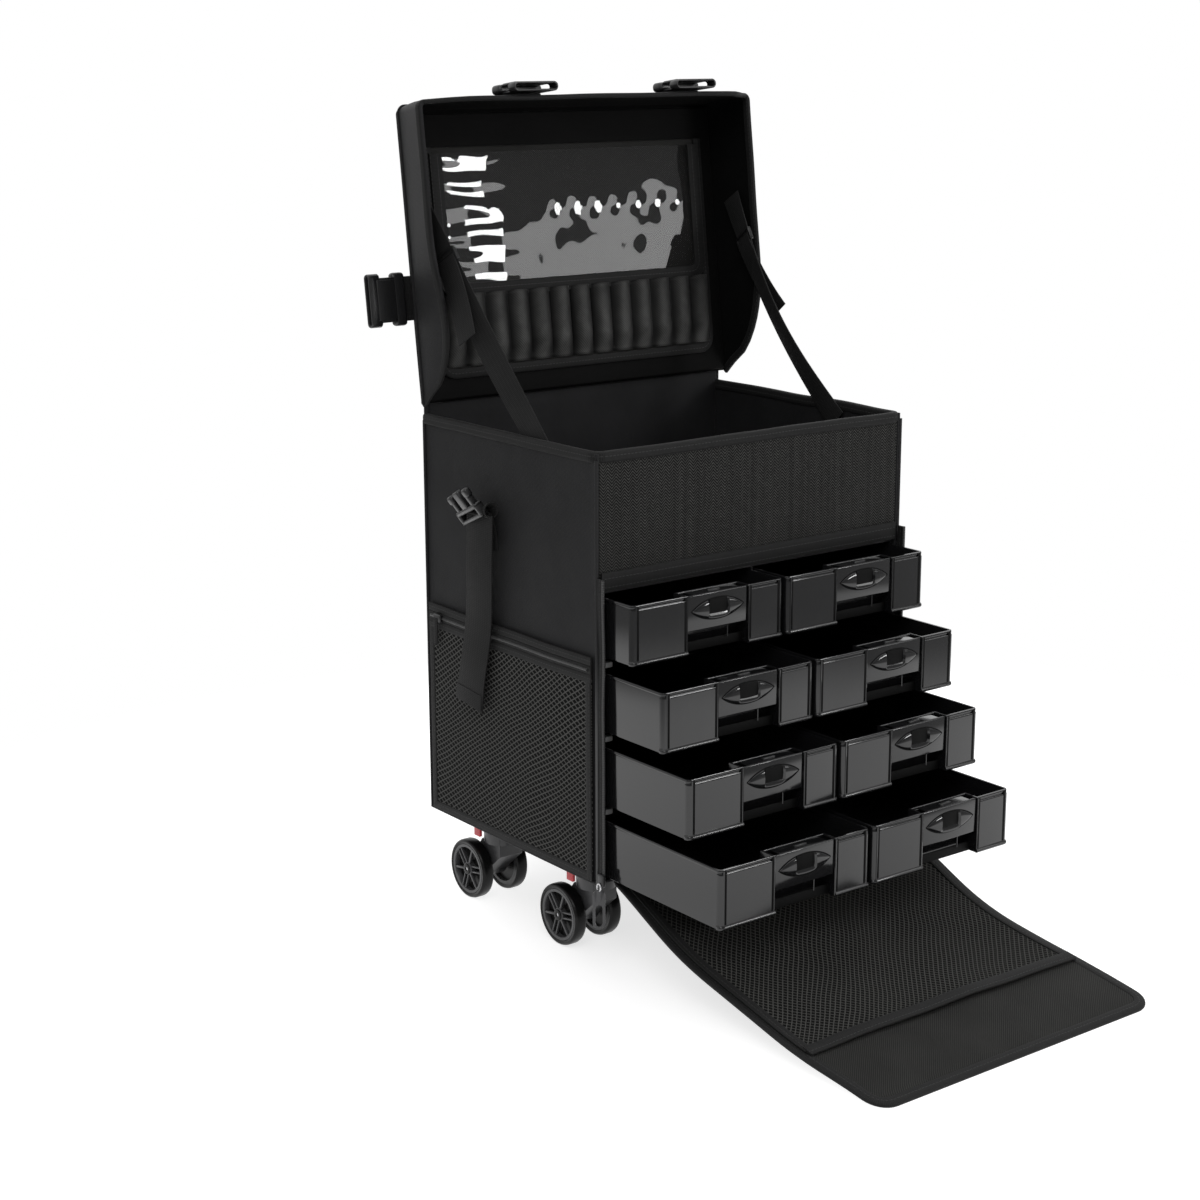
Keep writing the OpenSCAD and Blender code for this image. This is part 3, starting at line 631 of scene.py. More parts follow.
# Rim tape, piping along the edges and the zips in front
RIM_BEND = 9 * MM
rim_x, rim_y = HALF_W - WALL / 2, FRONT + WALL / 2
rim_side = [(-rim_x, y) for y in spread(BACK - 2 * MM, rim_y + RIM_BEND, 26)]
rim_side += corner_arc(RIM_BEND - rim_x, rim_y + RIM_BEND, RIM_BEND, 5, 0.2)
rim_front = [(x, rim_y) for x in spread(RIM_BEND - rim_x, rim_x - RIM_BEND, 32)[1:-1]]
rim_path = [(x + 0.6 * MM * soft(x, y, 0, 12), y + 0.6 * MM * soft(x, y, 5, 12),
             RIM - 6.2 * MM + 1.0 * MM * soft(x, y, 9, 16))
            for x, y in rim_side + rim_front + [(-x, y) for x, y in rim_side[::-1]]]
trims = [(sweep(rim_path, (0, 0, 1), rounded_ring(10.5 * MM, WALL + 3.4 * MM, 3 * MM)), BINDING)]
zip_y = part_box("edge_binding")[0].y
tape_top = RIM - 113 * MM
pull_outside, pull_hole = stadium(11.5 * MM, 38 * MM, -8 * MM), stadium(6.6 * MM, 21 * MM, -22.5 * MM)
for sign in (-1, 1):
    heights = spread(BASE + 2 * MM, tape_top, 24)
    tape_x = [sign * (HALF_W - 0.75 * MM) + 0.8 * MM * soft(sign, 0, z, 18) for z in heights]
    tape = [(x, FRONT - 4.5 * MM, z) for x, z in zip(tape_x, heights)]
    coil = [(x, zip_y + 1.2 * MM, z) for x, z in zip(tape_x, heights)]
    edge_x = sign * (HALF_W - 0.6 * MM)
    edge_z = spread(BASE + 2 * MM, RIM - 8 * MM, 20)
    trims += [(strap(tape, (0, 1, 0), 11 * MM, 1.5 * MM), BINDING),
              (tube(coil, 1.5 * MM, 8), COIL),
              (tube([(sign * (HALF_W - 0.4 * MM), FRONT + 0.4 * MM, z) for z in edge_z], PIPING), GLOSS),
              (tube([(edge_x, BACK - 0.6 * MM, z) for z in edge_z], PIPING), NYLON),
              (tube([(edge_x, y, BASE + 1.8 * MM) for y in spread(FRONT, BACK, 20)], 1.8 * MM), NYLON)]
    # Zip slider at the foot of the tape, its ring and its pull
    foot = Vector((sign * (HALF_W + 0.8 * MM), zip_y + 3 * MM, BASE + 8 * MM))
    ring = [foot + Vector((sign * 3 * MM, 2.6 * MM * sin(a), -6 * MM + 3.4 * MM * cos(a)))
            for a in spread(0, 2 * pi, 16)[:-1]]
    skew, facing = Vector((-sign * 0.75, -0.66, 0)), Vector((sign * 0.66, -0.75, 0))
    plate = []
    for o, i in zip(pull_outside, pull_hole):
        section = ((*o, 0.9), (o[0] * 0.9, o[1], 1.2), (*i, 1.2), (*i, -0.6), (*o, -0.6))
        plate.append([foot + skew * a + facing * (b * MM) + Vector((sign * 3 * MM, 0, c))
                      for a, c, b in section])
    # Painted highlight: the black gloss pull takes the lighter hub grey so that it shows its highlights
    trims += [(box_at(foot, (-2.2, -4, -6), (2.2, 4, 6), 1.4), MATT),
              (tube(ring, 0.8 * MM, 8, looped=True), STEEL),
              (loft(plate, caps=False, looped=True), HUB)]
# Hinge cloth, from the back panel up to the lid's axis
strip_from = RIM - 12 * MM
strip = [(x, BACK - WALL / 2, (strip_from + HINGE.z) / 2) for x in spread(-HALF_W, HALF_W, 12)]
trims.append((strap(strip, (0, 0, 1), HINGE.z - strip_from - 0.4 * MM, 1.6 * MM), NYLON))
piece("rim_tape_and_zips", trims, "case", ["edge_binding"], sharp=50)

# Mesh side pockets, with a bound zip band along the top
pocket_low, pocket_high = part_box("side_pockets")
NET_FRONT, NET_BACK, NET_FOOT, NET_TOP = FRONT + 6 * MM, BACK - 6 * MM, pocket_low.z, pocket_high.z
ZIP_Z, MOUTH_Z = NET_TOP - 12 * MM, NET_TOP - 20 * MM
BAND_W, BAND_IN = 8 * MM, 4 * MM


def on_side(sign, y, z, out):
    """A point out from a side panel."""
    return Vector((sign * (HALF_W + side_bulge(y, z) + out), y, z))


def sag(y, z):
    """How far a pocket hangs out from its panel."""
    along, up = (y - NET_FRONT) / (NET_BACK - NET_FRONT), min(1.0, (z - NET_FOOT) / (NET_TOP - NET_FOOT))
    return 1.0 * MM + 1.6 * MM * sin(pi * along) * sin(pi * up)


def band_wave(y):
    """How the pocket's upper bands wander up and down."""
    return 1.8 * MM * soft(y, 0, 3, 11)


for side, sign in SIDES.items():
    lie = grid(spread(NET_FRONT, NET_BACK, 40), spread(NET_FOOT, MOUTH_Z, 40),
               lambda y, z: on_side(sign, y, z, sag(y, z)))
    cloth = piece(f"{side}_pocket_net", [(lie, NET)], "case")
    thicken(cloth, 0.8 * MM)
    bands = []
    for z, paint in ((NET_TOP - 4 * MM, BINDING), (ZIP_Z, WEBBING), (MOUTH_Z, BINDING)):
        line = [on_side(sign, y, z + band_wave(y), sag(y, z) + 0.4 * MM)
                for y in spread(NET_FRONT, NET_BACK, 36)]
        bands.append((strap(line, (0, 0, 1), BAND_W, 1.8 * MM), paint))
    ends = NET_FRONT + BAND_IN, NET_BACK - BAND_IN
    line = [on_side(sign, y, ZIP_Z + band_wave(y), sag(y, NET_TOP) + 1.4 * MM) for y in spread(*ends, 60)]
    bands.append((tube(line, 1.5 * MM, 8), COIL))
    for y in ends:
        line = [on_side(sign, y, z, 1.4 * MM) for z in spread(NET_FOOT, NET_TOP - 16 * MM, 24)]
        bands.append((strap(line, (0, 1, 0), BAND_W, 1.6 * MM), BINDING))
    line = [on_side(sign, y, NET_FOOT + 3 * MM, 1.4 * MM) for y in spread(NET_FRONT, NET_BACK, 24)]
    bands.append((strap(line, (0, 0, 1), BAND_W, 1.6 * MM), BINDING))
    slider = on_side(sign, NET_BACK - 20 * MM, ZIP_Z, 4.4 * MM)
    tab = [slider + Vector((sign * 2 * MM, 1 * MM, -d)) for d in spread(0, 26 * MM, 8)]
    bands += [(box_at(slider, (-2, -6, -4), (2, 6, 4), 1.4), MATT),
              (strap(tab, (0, 1, 0), 7 * MM, 1.4 * MM), WEBBING)]
    trim = piece(f"{side}_pocket_trim", bands, "case", ["side_pockets"] if side == "left" else ())


# Buckles: a plug and a socket, each with its width along x, thickness along y and length along z
def buckle_plug(length, width, thick):
    """A frame for the webbing and three prongs, the outer ones with heads."""
    bar, root, half, prong, rail = 0.45 * length, 0.45 * length - 2 * MM, width / 2, 0.17 * width, 2.5 * MM

    def bit(x, wide, inset, start, end, radius, steps=3):
        """A bar that reaches wide to each side of x; inset is a share of the thickness."""
        low, high = (x - wide, inset * thick, start), (x + wide, (1 - inset) * thick, end)
        return rounded_box(low, high, radius, steps)

    parts = [bit(0, half, 0, 0, 0.14 * length, 1.6 * MM), bit(0, half, 0, bar - 0.16 * length, bar, 1.8 * MM),
             bit(0, 0.7 * prong, 0.1, root, length, 1.8 * MM)]
    for s in (-1, 1):
        x = s * (half - 3 * MM - prong / 2)
        parts += [bit(s * (half - rail), rail, 0, 0, bar, 1.8 * MM),
                  bit(x, 0.35 * prong, 0.15, root, 0.9 * length, 1.6 * MM),
                  bit(x + s * 0.15 * prong, 0.55 * prong, 0.1, 0.68 * length, 0.97 * length, 2.6 * MM, 4)]
    return parts


def buckle_socket(length, width, thick):
    """A sleeve with an oval mouth at its length and a window at each side for the plug's prongs."""
    neck, mouth, half, plate = 0.36 * length, 0.70 * length, width / 2, 1.9 * MM
    collar = []
    for inset, end in ((0.6 * MM, mouth), (0, mouth + 0.8 * MM), (0, length - 1 * MM), (0.5 * MM, length),
                       (1.6 * MM, length - 0.2 * MM), (2.0 * MM, length - 1 * MM), (2.0 * MM, mouth)):
        tall = thick - 2 * inset
        oval = rounded_ring(width - 2 * inset, tall, 0.47 * tall, 5)
        collar.append([(a, thick / 2 + b, end) for a, b in oval])
    parts = [loft(collar, caps=False, looped=True),
             rounded_box((-half, 0, 0), (half, thick, neck), 3.6 * MM, 4),
             rounded_box((6 * MM - half, thick - 0.6 * MM, 12 * MM),
                         (half - 6 * MM, thick + 0.8 * MM, length - 8 * MM), 1.4 * MM)]
    for t in (0.0, thick - plate):
        parts.append(rounded_box((4 * MM - half, t, neck - 3 * MM),
                                 (half - 4 * MM, t + plate, mouth + 3 * MM), 0.8 * MM))
    return parts


BUCKLE_W, BUCKLE_T, PLUG_L, SOCKET_L = 50 * MM, 9 * MM, 32 * MM, 40 * MM
plug_low, plug_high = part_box("side_buckle_plugs")
STRAP_Y = (plug_low.y + plug_high.y) / 2
PLUG_X = plug_high.x - BUCKLE_T
BAR_X, BAR_Z, FOLD = PLUG_X + 4.5 * MM, plug_low.z + 5 * MM, 4.6 * MM
TAIL_L = 190 * MM
PLUG_TURN = Matrix.Rotation(radians(28), 4, "Y") @ Matrix.Rotation(radians(-24), 4, "X")
plugs, straps = [], []
for sign in (-1, 1):
    def stand(x, y, z):
        place = PLUG_TURN @ Vector((y, x, z))
        return Vector((sign * (PLUG_X + place.x), STRAP_Y + place.y, plug_low.z + place.z))

    plugs += [(put(part, stand), MATT) for part in buckle_plug(PLUG_L, BUCKLE_W, BUCKLE_T)]
    tail = [Vector((sign * (BAR_X + 2.2 * MM * sin(9 * t) * t), STRAP_Y - 6 * MM + 20 * MM * t * t,
                    BAR_Z - t * TAIL_L)) for t in spread(0, 1, 30)]
    hemmed = [tail[-1] + Vector((sign * 1.6 * MM, y * MM, z * MM)) for y, z in ((-1.5, 16), (0, 1))]
    over_bar = [Vector((sign * (BAR_X - FOLD * cos(a)), STRAP_Y - 5 * MM, BAR_Z + FOLD * sin(a)))
                for a in spread(-0.3, pi + 0.3, 12)]
    sewn = plug_low.z - 22 * MM
    side_x = HALF_W + side_bulge(STRAP_Y, sewn)
    loop = [(side_x + 1.2 * MM, sewn - 8 * MM), (side_x + 1.6 * MM, sewn + 6 * MM),
            (PLUG_X - 1.5 * MM, plug_low.z - 2 * MM), (PLUG_X + 1.2 * MM, BAR_Z), (BAR_X, BAR_Z + 2 * MM)]
    straps += [web_strap(tail, (0, 1, 0.04)), web_strap(hemmed, (0, 1, 0.04), 1.6 * MM),
               web_strap(over_bar, (0, 1, -0.4), 1.6 * MM),
               web_strap([(sign * x, STRAP_Y, z) for x, z in loop], (0, 1, 0))]
piece("side_plugs", plugs, "case", ["side_buckle_plugs"])
piece("side_webbing", straps, "case", ["side_straps"])

# Drawers. A tray's rings are an inset and a height in millimetres, from its foot or from its top
TRAY_FOOT = (1.6, 0), (0.9, 0.5), (0.7, 1.4)
TRAY_RIM = (0.7, -3.0), (0.1, -2.4), (0, -1.8), (0, -0.6), (0.3, 0), (2.0, 0), (2.3, -0.4)
TRAY_INSIDE = (2.3, 3.0), (3.2, 2.0)
FRONT_SECTION = ((-0.4, 0.4), (1.4, 0.4), (2.2, 1.1), (2.4, 2.1), (2.2, 3.1), (1.4, 3.9), (0.6, 4.3),
                 (0.6, 5.0), (0.6, 49.2), (0.6, 50.0), (0.3, 50.6), (-0.4, 50.6))
DRAWER_R, ARC_STEPS, NOTCH_DEPTH, NOTCH_GAP = 4.5 * MM, 6, 15 * MM, 0.4 * MM
PLATE_H = 33 * MM


def drawer_plan(low, high, notch, inset):
    """Points from the back left round the front to the back right, with the finger recess in the front."""
    x0, x1, y0, y1 = low.x + inset, high.x - inset, low.y + inset, high.y - inset
    r, deep = max(DRAWER_R - inset, 0.5 * MM), low.y + NOTCH_DEPTH + inset
    left, right = notch[0] - inset, notch[1] + inset
    plan = [(x0, y1)] + corner_arc(x0 + r, y0 + r, r, ARC_STEPS)
    plan += [(left, y0), (left, deep), (right, deep), (right, y0)]
    plan += [(x1 - r + r * sin(a), y0 + r - r * cos(a)) for a in spread(0, pi / 2, ARC_STEPS)]
    return plan + [(x1, y1)]


def drawer_front(run, low, high):
    """A raised front panel with a rolled foot, a top rail, and at each end a rib beside a dark strip of
    painted shade, for the shadow in a groove.
    """
    path = [Vector((x, y, low.z)) for x, y in run]
    rings = []
    for point, tangent in zip(path, tangents(path)):
        normal = Vector((tangent.y, -tangent.x, 0))
        lead = max(0.0, -normal.y)
        rings.append([point + normal * (a * MM * (lead if a > 0 else 1)) + Vector((0, 0, z * MM))
                      for a, z in FRONT_SECTION])
    parts = [(loft(rings), GLOSS)]
    middle = (run[0][0] + run[-1][0]) / 2
    for x, y in (run[0], run[-1]):
        inward = copysign(1, middle - x)
        x += inward * (DRAWER_R if y > low.y + 1 * MM else 0.6 * MM)
        rib = [(x, low.y - 0.3 * MM, z) for z in (low.z + 1 * MM, high.z - 1 * MM)]
        # Painted shade: a dark strip on the face beside the rib, standing for the shadow in a groove
        groove_shade = sorted((x + inward * 0.8 * MM, x + inward * 2.8 * MM))
        parts += [(tube(rib, 0.9 * MM, 8), GLOSS),
                  (rounded_box((groove_shade[0], low.y - 0.75 * MM, low.z + 4.6 * MM),
                               (groove_shade[1], low.y, high.z - 1.2 * MM), 0.1 * MM), BLACK_AND_SHADE)]
    return parts


def tray_parts(low, high, notch):
    """A tray with its two raised fronts."""
    rings = [(inset, low.z + z * MM) for inset, z in TRAY_FOOT]
    rings += [(inset, high.z + z * MM) for inset, z in TRAY_RIM]
    rings += [(inset, low.z + z * MM) for inset, z in TRAY_INSIDE]
    rings = [[(x, y, z) for x, y in drawer_plan(low, high, notch, inset * MM)] for inset, z in rings]
    parts = [(loft(rings), GLOSS)]
    outer = drawer_plan(low, high, notch, 0.0)
    parts += drawer_front(outer[1:8] + [(notch[0] - 0.6 * MM, low.y)], low, high)
    parts += drawer_front([(notch[1] + 0.6 * MM, low.y)] + outer[12:19], low, high)
    # Lower bar and pin seen through the notch under the latch
    pin = notch[0] + 0.72 * (notch[1] - notch[0]), low.y + 5 * MM
    parts += [(rounded_box((notch[0], low.y + 7 * MM, low.z + 1 * MM),
                           (notch[1], low.y + 9 * MM, low.z + 10 * MM), 0.8 * MM), BLACK_AND_SHADE),
              (tube([(*pin, low.z + 9 * MM), (*pin, low.z + 22 * MM)], 0.7 * MM), GLOSS)]
    return parts


def almond_height(s):
    """Half the height of an almond shape, as a share, from -1 to 1 along it."""
    return (1 - abs(s) ** 2.2) ** 0.9


def almond(width, height, out, x, y, z):
    """A raised almond about a point, cut back for a fingertip in its middle third, above a lower lip."""
    rings = []
    for s in spread(-0.99, 0.99, 44):
        tall, deep = height / 2 * almond_height(s), out * (1 - s * s) ** 0.45
        cut = 1 - smooth((abs(s) - 0.36) / 0.02)
        ring = []
        for a in spread(-pi / 2, pi / 2, 16):
            full = deep * cos(a) ** 0.7 if abs(a) < 1.56 else 0.0
            lip = out * 0.5 * max(0.0, cos((a + 1.05) * 1.9)) if a < 0 else 0.0
            raised = full * (1 - cut) + max(lip, 0.3 * MM) * cut * (abs(a) < 1.56)
            ring.append((x + s * width / 2, y - raised, z + tall * sin(a)))
        rings.append(ring)
    return loft(rings)


def latch_parts(face, top, low, high):
    """A latch plate behind a drawer's face, from its top down, with an almond pull and a catch, and dark
    pieces of painted shade in the pull's fingertip cut and round its edge.
    """
    middle, pull = (low.x + high.x) / 2, top - 0.46 * PLATE_H
    width = (high.x - low.x) / MM
    # Painted shade: a dark almond-shaped band just behind the pull, for the shadow in the gap round its edge
    shade = [[(middle + 0.45 * width * MM * s, face + y * MM, pull + 10.4 * MM * k * almond_height(s))
              for y, k in ((0.3, -1), (0.3, 1), (1, 1), (1, -1))] for s in spread(-0.99, 0.99, 30)]
    plate = box_at((middle, face, top), (-width / 2, 0.5, -PLATE_H / MM), (width / 2, 3, 0), 1.0)
    shelf = box_at((middle, face, top), (-0.4 * width, 2, -1.8), (0.4 * width, 14.4, 0), 0.6)
    catch = box_at((middle, face, top), (-7, 6, -1), (7, 9, (high.z - top) / MM), 0.5)
    dome = almond(0.86 * width * MM, 19 * MM, 3.4 * MM, middle, face + 0.55 * MM, pull)
    # Painted shade: a dark box in the pull's fingertip cut, for the shade in that recess
    recess_shade = box_at((middle, face, pull), (-0.15 * width, -0.4, -4.6), (0.15 * width, 1, 9.2), 0.6)
    return [(plate, GLOSS), (shelf, GLOSS), (catch, MATT), (dome, GLOSS), (recess_shade, BLACK_AND_SHADE), (loft(shade), BLACK_AND_SHADE)]


for side in SIDES:
    for row in ROWS:
        drawer, latch = f"{side}_drawer_{row}", f"{side}_latch_{row}"
        low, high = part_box(drawer)
        latch_low, latch_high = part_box(latch)
        notch = latch_low.x - NOTCH_GAP, latch_high.x + NOTCH_GAP
        piece(f"{drawer}_tray", tray_parts(low, high, notch), drawer, [drawer])
        piece(f"{latch}_plate", latch_parts(low.y, high.z - 0.5 * MM, latch_low, latch_high), latch,
              [latch])

# Ends of the runners on the cabinet's posts, light grey, partly their own colour and partly a painted
# highlight for their glint
cab_low, cab_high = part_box("drawer_cabinet")
ends = []
for row in ROWS[1:]:
    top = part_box(f"left_drawer_{row}")[1].z
    for x in (11 * MM - cab_high.x, cab_high.x - 11 * MM):
        ends.append((box_at((x, cab_low.y, top), (-4, -2.4, 3), (4, 4, 8), 0.8), RUNNER_GREY_AND_GLINT))
piece("runner_ends", ends, "case")

# Casters. Ring sections are a radius and a place along the axle from the wheel's middle, in millimetres
WHEEL_R, WHEEL_T, SPOKES = 30, 13 * MM, 6
TREAD = ((26, -6.3), (28, -6.5), (29.3, -5.6), (30, -3.6), (30, 3.6), (29.3, 5.6), (28, 6.5), (26, 6.3),
         (25, 5.4), (25, -5.4))
RIM_RING = (25.4, 5.6), (24.8, 6.2), (22.4, 6.0), (21.9, 5.4), (21.9, -5.5), (25.4, -5.5)
WEB_RING = (22.5, 0.4), (4, 0.4), (4, -1.6), (22.5, -1.6)
BOSS_RING = (6.8, 0.2), (6.6, 5.2), (5.8, 6.0), (3.02, 6.2), (3.02, -5.8), (6.8, -5.6)
CAP_RING = (5.4, 6.52), (5.2, 7.0), (4.4, 7.3), (2.2, 7.3), (1.8, 6.9), (1.8, 6.52)
for corner in CORNERS:
    low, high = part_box(f"{corner}_wheels")
    centre = (low + high) / 2
    extra = (high.z - low.z) / 2 - WHEEL_R * MM
    parts = []
    for sign in (-1, 1):
        mid = sign * (high.x - centre.x - WHEEL_T / 2)
        parts.append((lathe([(r * MM + extra, mid + x * MM) for r, x in TREAD], centre, 56), TYRE))
        # Painted shade: the web behind the spokes takes the tyre's black for the shade deep in the wheel's
        # recess
        for ring, steps, paint in ((RIM_RING, 56, HUB), (WEB_RING, 48, TYRE), (BOSS_RING, 32, HUB),
                                   (CAP_RING, 32, TYRE)):
            parts.append((lathe([(r * MM, mid + sign * x * MM) for r, x in ring], centre, steps), paint))
        # Single and double spokes in turn
        hub = centre + Vector((mid + sign * 4.0 * MM, 0, 0))
        for k in range(SPOKES):
            turn = Matrix.Rotation(radians(360 / SPOKES * k + 20), 4, "X")
            for aside, half in ((-2.7, 0.9), (2.7, 0.9)) if k % 2 else ((0, 1.2),):
                bar = box_at((0, 0, 0), (-1.6, aside - half, 5.6), (1.6, aside + half, 22.6), 0.6, 2)
                parts.append((put(bar, lambda x, y, z: hub + turn @ Vector((x, y, z))), HUB))
    piece(f"{corner}_wheel_pair", parts, f"{corner}_wheels", [f"{corner}_wheels"])

# Lid: a soft shell with rounded edges and skirts on three sides
shell_high = lid_box("lid_shell")[1]
LID_L, LID_X, LID_R, LID_T = shell_high.y, shell_high.x, 7 * MM, 8 * MM
SIDE_SKIRT, SKIRT_RISE = 62 * MM, 100 * MM
FRONT_SKIRT, CORNER_RISE = 25 * MM, 45 * MM
LEAN_OUT, LEAN_X, LEAN_L = 17 * MM, 60 * MM, 150 * MM
EDGE = 0.3  # share of the way down to the hem that the rounded edge takes
inner_x, inner_l = LID_X - LID_R, LID_L - LID_R


def skirt(x, along):
    """Depth of the lid's skirts, growing from the hinge and from the front corners."""
    rise = min(max((along - LID_T) / SKIRT_RISE, 0.0), 1.0)
    depth = LID_T + SIDE_SKIRT * sqrt(1 - (1 - rise) ** 2)
    return depth + FRONT_SKIRT * smooth((LID_X - abs(x)) / CORNER_RISE)


def flare(x, along, depth):
    """How far the soft left skirt leans out at a depth below the top."""
    near = smooth((-x - inner_x + LEAN_X) / LEAN_X) * smooth((along - 10 * MM) / LEAN_L)
    return LEAN_OUT * near * (depth / (70 * MM)) ** 1.4


def lid_top(x, along):
    """Height of the padded top over the flat."""
    swell = max(0.0, (1 - (x / LID_X) ** 2) * 4 * (along / LID_L) * (1 - along / LID_L))
    return 3.0 * MM * swell + 0.6 * MM * soft(x, along, 0, 13)


# The lid's outline: points of its flat top's edge, each with the way out from it
side_spots, front_spots = spread(0, inner_l, 26), spread(-inner_x, inner_x, 36)
left = [((-inner_x, a), (-1, 0)) for a in side_spots]
left += [((-inner_x, inner_l), (-cos(t), sin(t))) for t in spread(0, pi / 2, 6)[1:]]
outline = left + [((x, inner_l), (0, 1)) for x in front_spots[1:-1]]
outline += [((-x, a), (-out_x, out_a)) for (x, a), (out_x, out_a) in left[::-1]]
outline = [(Vector(foot), Vector(way)) for foot, way in outline]


def lid_edge(foot, way, down):
    """A point on the lid's rounded edge or skirt: down from 0 at the top to 1 at the skirt's hem."""
    outer = foot + way * LID_R
    deep = max(skirt(outer.x, outer.y), LID_R * 0.42)
    arc = min(LID_R, deep)
    if down < EDGE:
        a = down / EDGE * pi / 2
        out, depth = LID_R * sin(a), arc * (1 - cos(a))
    else:
        t = (down - EDGE) / (1 - EDGE)
        out, depth = LID_R, arc + (deep - arc) * t
        out += 1.6 * MM * sin(pi * t) * min(1.0, deep / (60 * MM))
    place = foot + way * out
    rough = 0.7 * MM * soft(place.x, place.y, depth, 15) * down
    lift = lid_top(foot.x, foot.y) * (1 - down) if down < 1 else 0.0
    lean = flare(place.x, place.y, depth)
    return on_lid(place.x + way.x * rough - lean, place.y + way.y * rough, lift - depth)


def edge_way(way, down, quarter):
    """The way out from the rounded edge at a place down it; quarter is its whole turn, in radians."""
    a = down / EDGE * quarter
    return lid_way(way.x * sin(a), way.y * sin(a), cos(a))


shell = [[lid_edge(foot, way, d) for d in spread(0, 1, 20)] for foot, way in outline]
lid_skin = [(loft(shell, closed=False, caps=False), NYLON),
            (grid(front_spots, side_spots, lambda x, a: on_lid(x, a, lid_top(x, a))), NYLON)]
lid = piece("lid_cloth", lid_skin, "lid", ["lid_shell"], sharp=60, weld=2e-5)
settle(lid, lambda p: abs(p.x) < inner_x - 5 * MM and lid_along(p) < inner_l - 5 * MM, 2.0)
thicken(lid, 3.2 * MM, -1.0, LINING)

# Lining board inside the lid, its bound hem and its piping
BOARD_IN = 5 * MM
lining = pillow(2 * (LID_X - BOARD_IN), LID_L - 9 * MM, 3 * MM, 0.0)
ways = [lid_way(way.x, way.y, 0) for foot, way in outline]
hem = [lid_edge(foot, way, 1.0) - lid_way(way.x, way.y, 0) * 1.6 * MM + lid_way(0, 0, 4 * MM)
       for foot, way in outline]
trims = [(put(lining, lambda u, v, w: on_lid(u - LID_X + BOARD_IN, v + 2 * MM, -6.6 * MM - w)), LINING),
         (sweep(hem, ways, rounded_ring(4.2 * MM, 8 * MM, 1.8 * MM)), BINDING)]
for level in (0.13, 0.32):
    welt = [lid_edge(foot, way, level) + edge_way(way, level, 1.4) * 0.5 * MM for foot, way in outline]
    trims.append((tube(welt, 1.5 * MM, 8), NYLON))
piece("lid_lining_and_hem", trims, "lid", sharp=50)

# Organiser inside the lid: a base cloth, brush slots and a clear page
org_low, org_high = lid_box("lid_organiser")
ORG_X, ORG_FROM, ORG_TO = org_high.x, org_low.y, org_high.y
ORG_FACE = -8.2 * MM
SLOTS, SLOT_FROM, SLOT_TO = 13, ORG_FROM + 6 * MM, ORG_FROM + 74 * MM
HALF_SLOT, SLOT_SWELL = ORG_X / SLOTS, 9.0 * MM
base = pillow(2 * ORG_X, ORG_TO - ORG_FROM, 3 * MM, 0.8 * MM, lambda u, v: 0.4 * MM * soft(u, v, 7, 20))
base = put(base, lambda u, v, w: on_lid(u - ORG_X, ORG_FROM + v, ORG_FACE - w))
organiser = piece("organiser_cloth", [(base, TWILL)], "lid", sharp=60)


def slot_face(u, a):
    """The slots' cloth, swelling between its seams and less at its foot."""
    place = (u + ORG_X) / (2 * HALF_SLOT)
    near = abs(sin(pi * place)) ** 0.55
    full = smooth((a - SLOT_FROM) / (22 * MM)) * 0.75 + 0.25 + 0.12 * soft(int(place) * 0.37, a, 0, 25)
    mouth = 1.5 * MM * near * smooth((a - SLOT_TO + 12 * MM) / (12 * MM))
    return on_lid(u, a + mouth, ORG_FACE - 1.9 * MM - SLOT_SWELL * near * full)


def slot_paint():
    """Twill with painted light and shade: painted shade darkens it into the seam between two slots, and
    painted light makes it brighter than the organiser's own twill and brightest at the slots' feet, where the
    cloth bulges and faces up, so it darkens towards their mouths. Its blotches are painted wrinkle
    highlights.
    """
    made = Paint("slot_twill_painted_light_and_shade", grey(0.04), 0.5, Sheen_Weight=0.05, Specular_IOR_Level=0.12)
    u, v = made.flat()
    seam = made.math("PINGPONG", made.plus(u, ORG_X), HALF_SLOT)
    # Painted shade: darker towards the seam between two slots
    full = ramp(made.tree, seam, 0.05 * HALF_SLOT, 0.9 * HALF_SLOT, 0.05, 1.0)
    # Painted light: brighter towards the slots' feet, where the cloth bulges and faces up
    lower = ramp(made.tree, v, SLOT_FROM, SLOT_TO, 1.0, 0.5, "LINEAR")
    # The added noise makes blotches of painted wrinkle highlight over the twill
    woven = made.plus(made.times(twill_weave(made, u, v), 0.5), made.noise(70.0, 2.0))
    # The light colour, above the organiser twill's, is painted light on the swollen slots
    made.between(made.times(woven, made.times(full, lower)), grey(0.001), (0.07, 0.07, 0.068))
    made.raised(made.noise(55.0, 2.0), 1.6 * MM, 0.6)
    made.raised(woven, 0.25 * MM, 0.5)
    return made.material


slots = grid(spread(2 * MM - ORG_X, ORG_X - 2 * MM, SLOTS * 10), spread(SLOT_FROM, SLOT_TO, 22), slot_face)
pockets = piece("brush_slots", [(slots, slot_paint())], "lid", ["lid_organiser"])
thicken(pockets, 1.0 * MM)

page_low, page_high = lid_box("lid_clear_pocket")


def page_face(u, a):
    """A clear film over the tops of the slots, in loose bands at its left edge."""
    t = (a - page_low.y) / (page_high.y - page_low.y)
    loose = 1 - smooth((u - page_low.x) / (120 * MM))
    ripple = cos(pi * (u + ORG_X) / HALF_SLOT)
    columns = 0.05 * MM * ripple * (1 - smooth((t - 0.4) / 0.3))
    tips = exp(-((t - 0.56) / 0.045) ** 2) * smooth((u + 40 * MM) / (30 * MM)) * (1 - loose)
    bands = 0.31 * MM * loose * sin(2 * pi * (a + 4 * MM * soft(u, a, 2, 30)) / (25 * MM))
    waves = (0.7 + 0.5 * loose) * MM * soft(u, a, 0, 20)
    return on_lid(u, a, ORG_FACE - 3.8 * MM - columns - 0.4 * MM * ripple * tips - bands - waves)


